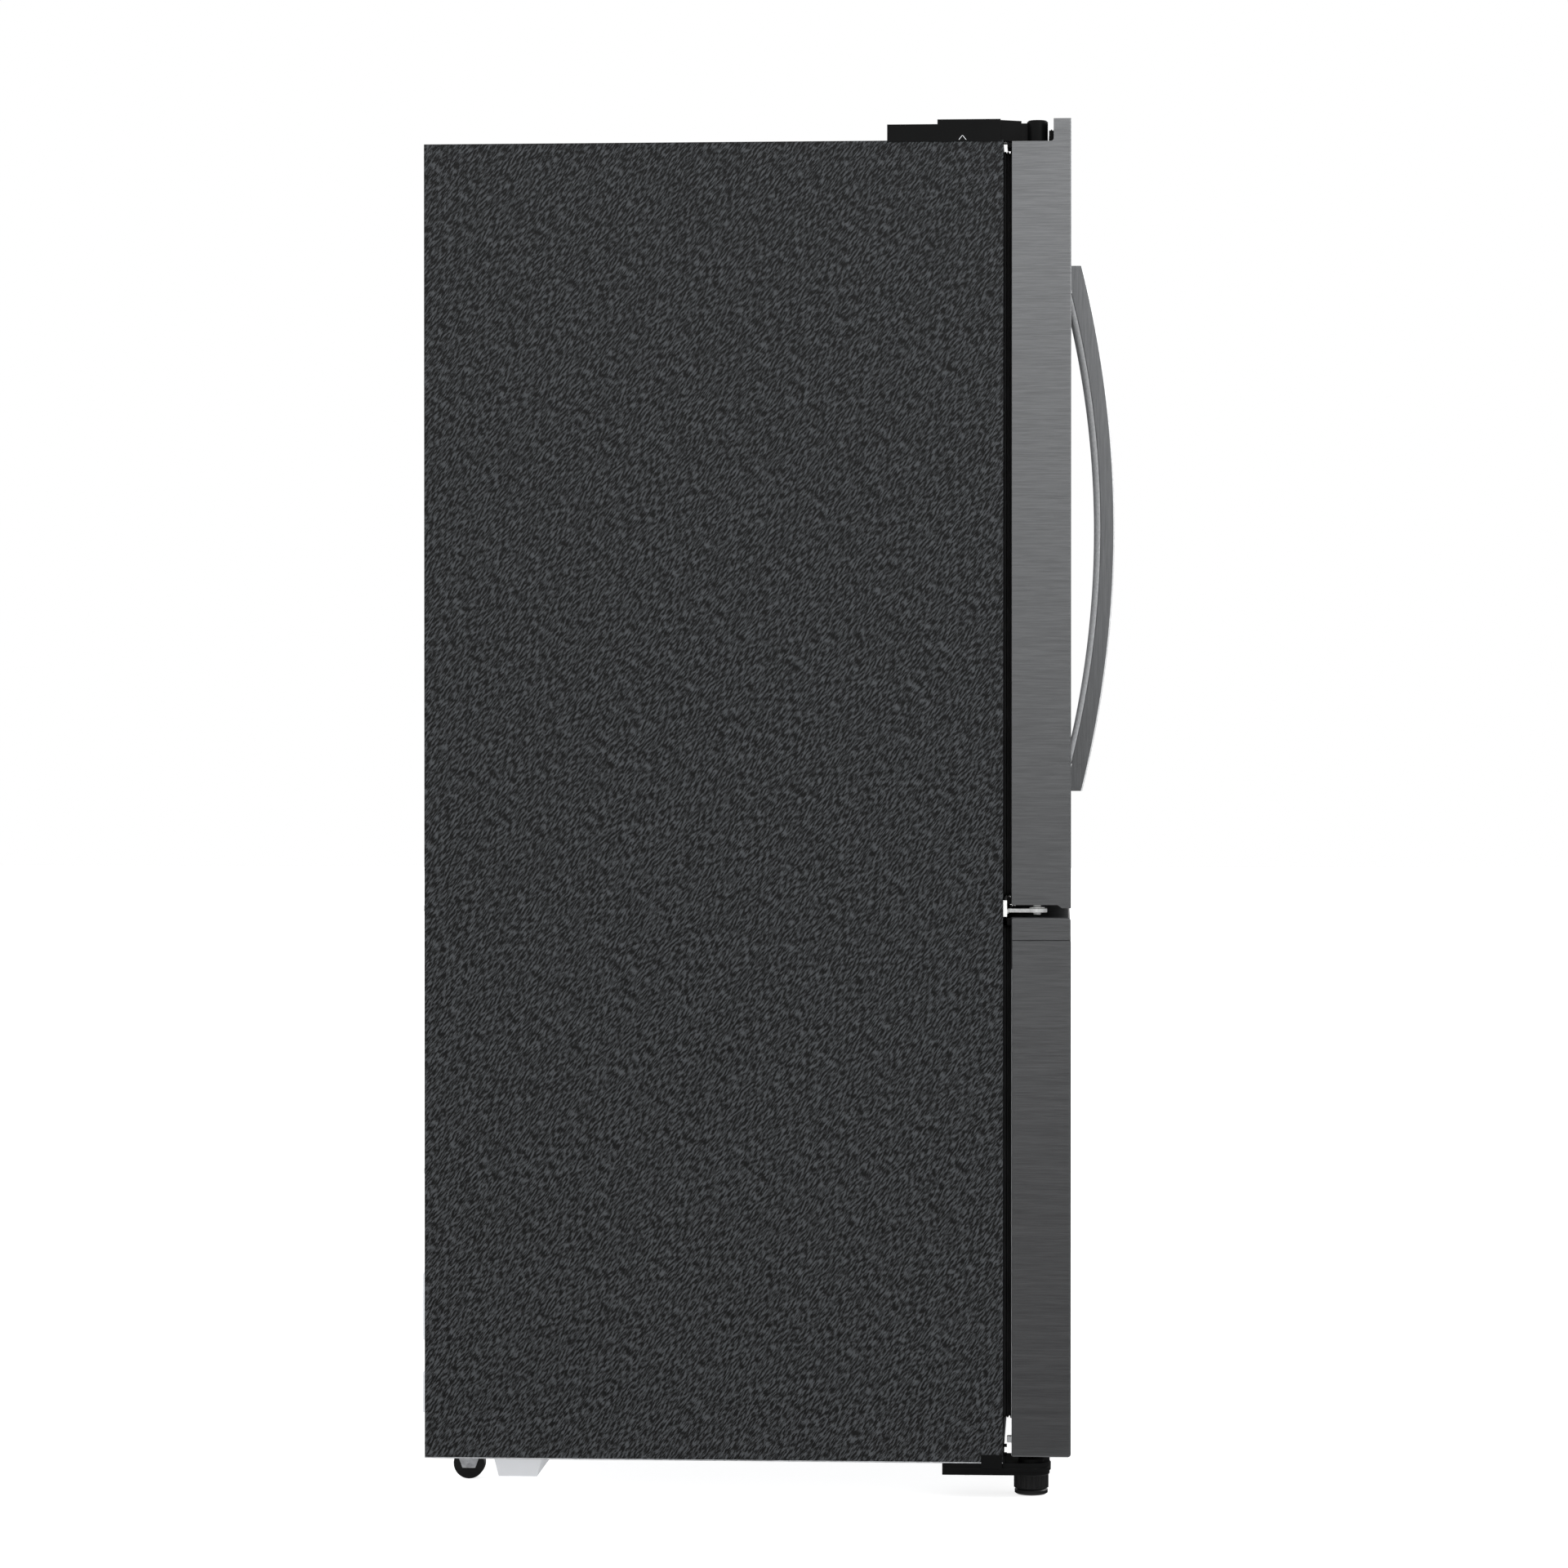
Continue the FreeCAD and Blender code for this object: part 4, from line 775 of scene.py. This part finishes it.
def addTray():
    half = tray["x"]
    shapes = [tubShape((-half, half), tray["y"], tray["z"], **tray["tub"])]
    for sign in (-1, 1):
        xs = mirrored(sign, half - tray["railIn"], half + tray["railOut"])
        shapes.append(boxShape(xs, tray["railY"], tray["railZ"]))
    points, faces = gather(shapes)
    piece = addPiece("freezerTray", points, faces, "clear_plastic", "freezer_tray", edge=0.5)
    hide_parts("freezer_tray")


for side, label in sides:
    addBins(side, label)
    addCrisper(side, label)
addBasket()
addTray()
print("bins and baskets")


# door handles: a curved bar with a broad round on the door side and a narrow flat at the front corners

bar = {
    "middle": 45,
    "width": 25,
    "low": 909,
    "high": 1623,
    "front": -393.0,
    "reach": 60,
    "end": 16,
    "gap": 32.5,
    "foot": 68,
    "round": 9.5,
    "flat": 1.8,
    "steps": 96,
    # faces whose normals turn this far to the side, but no further, are the rounds and chamfers
    "turned": (0.05, 0.995),
}


# how far an arc through both ends and the middle stands out at a height
def arcReach(height, half, rise):
    radius = (half * half + rise * rise) / (2 * rise)
    return math.sqrt(max(0.0, radius * radius - height * height)) - (radius - rise)


# a pale, half-metallic copy of the handle steel: a painted highlight for the light caught on the rounds and
# chamfers
paintedHighlightRound = plainSteel("paintedHighlightRound", (0.66, 0.67, 0.68), 0.34, 0.30)


def addHandle(side, label):
    half = (bar["high"] - bar["low"]) / 2
    centre = (bar["high"] + bar["low"]) / 2
    wide = bar["width"] / 2
    loops = []
    for step in range(bar["steps"] + 1):
        height = -half + 2 * half * step / bar["steps"]
        outer = bar["front"] - bar["end"] - arcReach(height, half, bar["reach"] - bar["end"])
        inner = bar["front"] - arcReach(height, half - bar["foot"], bar["gap"])
        right = [(wide - bar["round"] * (1 - math.sin(math.radians(angle))),
                  inner - bar["round"] * (1 - math.cos(math.radians(angle)))) for angle in range(0, 91, 10)]
        right += [(wide, outer + bar["flat"]), (wide - bar["flat"], outer)]
        profile = right + [(-x, y) for x, y in reversed(right)]
        loops.append([(side * bar["middle"] + x, min(y, bar["front"]), centre + height) for x, y in profile])
    points, faces = loftShape(loops)
    piece = addPiece(label + "BarHandle", points, faces, "handle_stainless", label + "_door", edge=0.35)
    # the rounds and chamfers take the painted highlight material, and the flats keep the brushed steel
    piece.data.materials.append(paintedHighlightRound)
    least, most = bar["turned"]
    for polygon in piece.data.polygons:
        if least < abs(polygon.normal.x) < most:
            polygon.material_index = 1
    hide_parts(label + "_door_handle")


for side, label in sides:
    addHandle(side, label)
print("handles")


# screws: a low dome with a recess, standing out of a face along one axis

def screwShape(place, axis, radius, height, outward):
    profile = [
        (0.0, height * 0.25),
        (radius * 0.42, height * 0.25),
        (radius * 0.46, height),
        (radius * 0.72, height),
        (radius * 0.94, height * 0.6),
        (radius, 0.15),
        (radius, 0.0),
    ]
    return latheShape([(max(r, pole), outward * h) for r, h in profile], place, axis, 18)


def addScrews(name, places, axis, slot, body, radius, height, outward=1):
    points, faces = gather([screwShape(place, axis, radius, height, outward) for place in places])
    return addPiece(name, points, faces, slot, body)


hingeParts = {
    "pinX": 389,
    "pinY": -349.5,
    "doorTop": 1745,
    "doorBack": -317,
    "stop": [(-14.2, 0), (-14.8, 9), (-16.5, 11), (-16.5, 15.5), (-18.6, 17.5), (-19.8, 12), (-20.6, 6),
             (-20.6, 0)],
    "stopX": (-9, 8),
    "collar": [(13, 0), (14.6, 0), (14.6, 1.2), (13.4, 2.2), (13.0, 2.2)],
    "collarLift": 0.1,
    "ribs": ((1738, 1744.6), (766.6, 775.2)),  # close the ends of the slit beside the seal
    "ribX": (-22, 14),
    "ribDepth": 6,
    "markY": -253.6,
    "markZ": (1747.3, 1753.2),
    "markFoot": 4.6,
    "markTip": 0.1,
    "markHalf": 0.4,
    "face": 416.0,
    "markDepth": (-0.6, 0.05),
    "screws": ((372, -205, 1765.4), (340, -275, 1773.4)),
}


# round the top hinge: a stop, a collar and two ribs on the door, a pale caret and screws on the cover
def addTopHinge(side, label):
    x, y, topZ = hingeParts["pinX"], hingeParts["pinY"], hingeParts["doorTop"]
    stop = [[(side * (x + dx), y + dy, topZ + dz) for dy, dz in hingeParts["stop"]]
            for dx in hingeParts["stopX"]]
    back = (hingeParts["doorBack"], hingeParts["doorBack"] + hingeParts["ribDepth"])
    ribXs = mirrored(side, *(x + dx for dx in hingeParts["ribX"]))
    ribs = [boxShape(ribXs, back, heights) for heights in hingeParts["ribs"]]
    collar = latheShape(hingeParts["collar"], (side * x, y, topZ + hingeParts["collarLift"]))
    points, faces = gather([loftShape(stop), collar, *ribs])
    addPiece(label + "DoorStop", points, faces, "black_plastic", label + "_door", edge=0.5)

    half = hingeParts["markHalf"]
    lowZ, highZ = hingeParts["markZ"]
    depths = [hingeParts["face"] + depth for depth in hingeParts["markDepth"]]
    bars = []
    for sign in (-1, 1):
        foot = hingeParts["markY"] + sign * hingeParts["markFoot"]
        tip = hingeParts["markY"] - sign * hingeParts["markTip"]
        corners = [(foot - half, lowZ), (foot + half, lowZ), (tip + half, highZ), (tip - half, highZ)]
        bars.append(loftShape([[(side * depth, y, z) for y, z in corners] for depth in depths]))
    points, faces = gather(bars)
    addPiece(label + "CoverMark", points, faces, "pale_plastic", "cabinet", smooth=False)
    spots = [(side * x, y, z) for x, y, z in hingeParts["screws"]]
    addScrews(label + "CoverScrews", spots, "z", "black_plastic", "cabinet", 4.6, 0.35)


grip = {
    "x": (414.9, 415.6),
    "outline": [(-392.6, 721.3), (-317.5, 721.3), (-317.5, 747.4), (-319.0, 748.9), (-391.2, 748.9),
                (-392.6, 747.4)],
    "ribX": (367, 403),
    "ribY": (-317, -311),
    "ribZ": (739.8, 749),
}


# thin brushed plates over the ends of the drawer's grip moulding, and ribs beside the drawer's seal
def addGripEnds():
    shapes = [loftShape([[(sign * depth, y, z) for y, z in grip["outline"]] for depth in grip["x"]])
              for sign in (-1, 1)]
    points, faces = gather(shapes)
    addPiece("gripEnds", points, faces, "dark_stainless", "freezer_drawer", edge=0.3)
    ribs = [boxShape(mirrored(sign, *grip["ribX"]), grip["ribY"], grip["ribZ"]) for sign in (-1, 1)]
    points, faces = gather(ribs)
    addPiece("drawerRibs", points, faces, "black_plastic", "freezer_drawer", edge=0.4)


lowerScrews = {
    "flange": ((381, -311, 757.6), (402, -311, 757.6)),
    "leg": ((370, -260, 33.2), (400, -260, 33.2), (385, -300, 33.2)),
}


# flange and foot bracket screws
def addLowerFixings(side, label):
    spots = [(side * x, y, z) for x, y, z in lowerScrews["flange"]]
    addScrews(label + "FlangeScrews", spots, "y", "zinc_plate", "cabinet", 3.4, 1.6, -1)
    spots = [(side * x, y, z) for x, y, z in lowerScrews["leg"]]
    addScrews(label + "LegScrews", spots, "z", "zinc_plate", "cabinet", 5, 2.4, -1)


for side, label in sides:
    addTopHinge(side, label)
    addLowerFixings(side, label)
addGripEnds()
print("hinge details")


# back of the cabinet: pressed ribs and a row of screws round both panels

rear = {
    "plane": 441.5,
    "ribs": 5,
    "ribFirst": -300,
    "ribPitch": 150,
    "ribHalf": 22,
    "ribZ": (380, 1660),
    "ribCorner": 20,
    "ribSink": 0.3,
    "ribSteps": ((0, 0), (3, 2.2), (8, 3.0)),  # inset and rise
    "screwRadius": 4.4,
    "screwHeight": 2.4,
    "topX": (-398, -205, 0, 205, 398),
    "topZ": 1733,
    "sideX": 405,
    "sideZ": (420, 760, 1100, 1440),
    "coverX": (-398, -200, 0, 200, 398),
    "coverZ": (290, 66),
}


def addRear():
    plane = rear["plane"]
    half = rear["ribHalf"]
    lowZ, highZ = rear["ribZ"]
    shapes = []
    for index in range(rear["ribs"]):
        x = rear["ribFirst"] + rear["ribPitch"] * index
        loops = []
        for inset, rise in rear["ribSteps"]:
            flat = roundedLoop((x - half + inset, lowZ + inset), (x + half - inset, highZ - inset),
                               rear["ribCorner"] - inset, 8)
            loops.append([(a, plane + rise - rear["ribSink"], b) for a, b in flat])
        shapes.append(loftShape(loops))
    points, faces = gather(shapes)
    addPiece("backRibs", points, faces, "galvanised", "cabinet")
    size = (rear["screwRadius"], rear["screwHeight"])
    spots = [(x, plane, rear["topZ"]) for x in rear["topX"]]
    spots += [(sign * rear["sideX"], plane, z) for z in rear["sideZ"] for sign in (-1, 1)]
    addScrews("backScrews", spots, "y", "zinc_plate", "cabinet", *size)
    spots = [(x, plane, z) for z in rear["coverZ"] for x in rear["coverX"]]
    addScrews("coverScrewsRear", spots, "y", "zinc_plate", "cabinet", *size)


addRear()
print("rear details")


# inside the fresh-food space: lamp ribs, a control strip with its keys, and the lugs that carry the bins

inside = {
    "ceiling": 1700,
    "lampX": 124,
    "lampY": -55,
    "lampZ": 1690.6,
    "lampRibs": 9,
    "lampStart": 2,
    "lampPitch": 8.2,
    "lampRib": 3.4,
    "lampSink": 0.6,
    "stripX": 118,
    "stripY": (-150, -95),
    "stripCorner": 12,
    "stripSteps": ((0, 0), (7, 0.5), (9, 3)),  # drop and inset
    "keys": 5,
    "keyFirst": -84,
    "keyPitch": 42,
    "keyY": -122.5,
    "keyDrop": 9,
    "key": [(pole, -1.0), (7.0, -1.0), (8.0, -0.4), (8.0, 0.6), (pole, 0.6)],
}


def addCeiling():
    lampXs = (-inside["lampX"], inside["lampX"])
    lampZs = (inside["lampZ"] - inside["lampSink"], inside["lampZ"] + 1)
    shapes = []
    for index in range(inside["lampRibs"]):
        y = inside["lampY"] + inside["lampStart"] + index * inside["lampPitch"]
        shapes.append(boxShape(lampXs, (y, y + inside["lampRib"]), lampZs))
    points, faces = gather(shapes)
    addPiece("lampRibs", points, faces, "lamp_diffuser", "cabinet", edge=0.5)
    half = inside["stripX"]
    lowY, highY = inside["stripY"]
    loops = []
    for drop, inset in inside["stripSteps"]:
        flat = roundedLoop((-half + inset, lowY + inset), (half - inset, highY - inset),
                           inside["stripCorner"] - inset)
        loops.append([(a, b, inside["ceiling"] - drop) for a, b in flat])
    points, faces = loftShape(loops)
    addPiece("controlStrip", points, faces, "white_trim", "cabinet", edge=0.4)
    keys = []
    for index in range(inside["keys"]):
        x = inside["keyFirst"] + inside["keyPitch"] * index
        keys.append(latheShape(inside["key"], (x, inside["keyY"], inside["ceiling"] - inside["keyDrop"])))
    points, faces = gather(keys)
    addPiece("controlKeys", points, faces, "dark_cap_plastic", "cabinet")


lugs = {
    "x": (57.0, 332.0),
    "middle": 194.5,
    "y": -292,
    "lifts": (20, 62),
    "profile": [(pole, 2.8), (5.0, 2.8), (6.0, 2.0), (6.5, 0), (pole, 0)],
    "steps": 16,
}


# small lugs on the door liner that carry the bins
def addBinLugs(side, label):
    shapes = []
    for level in bins["levels"]:
        for x in mirrored(side, *lugs["x"]):
            toward = 1 if x < side * lugs["middle"] else -1
            profile = [(radius, height * toward) for radius, height in lugs["profile"]]
            for lift in lugs["lifts"]:
                shapes.append(latheShape(profile, (x, lugs["y"], level + lift), "x", lugs["steps"]))
    points, faces = gather(shapes)
    addPiece(label + "BinLugs", points, faces, "white_liner", label + "_door")


addCeiling()
for side, label in sides:
    addBinLugs(side, label)
print("inside details")
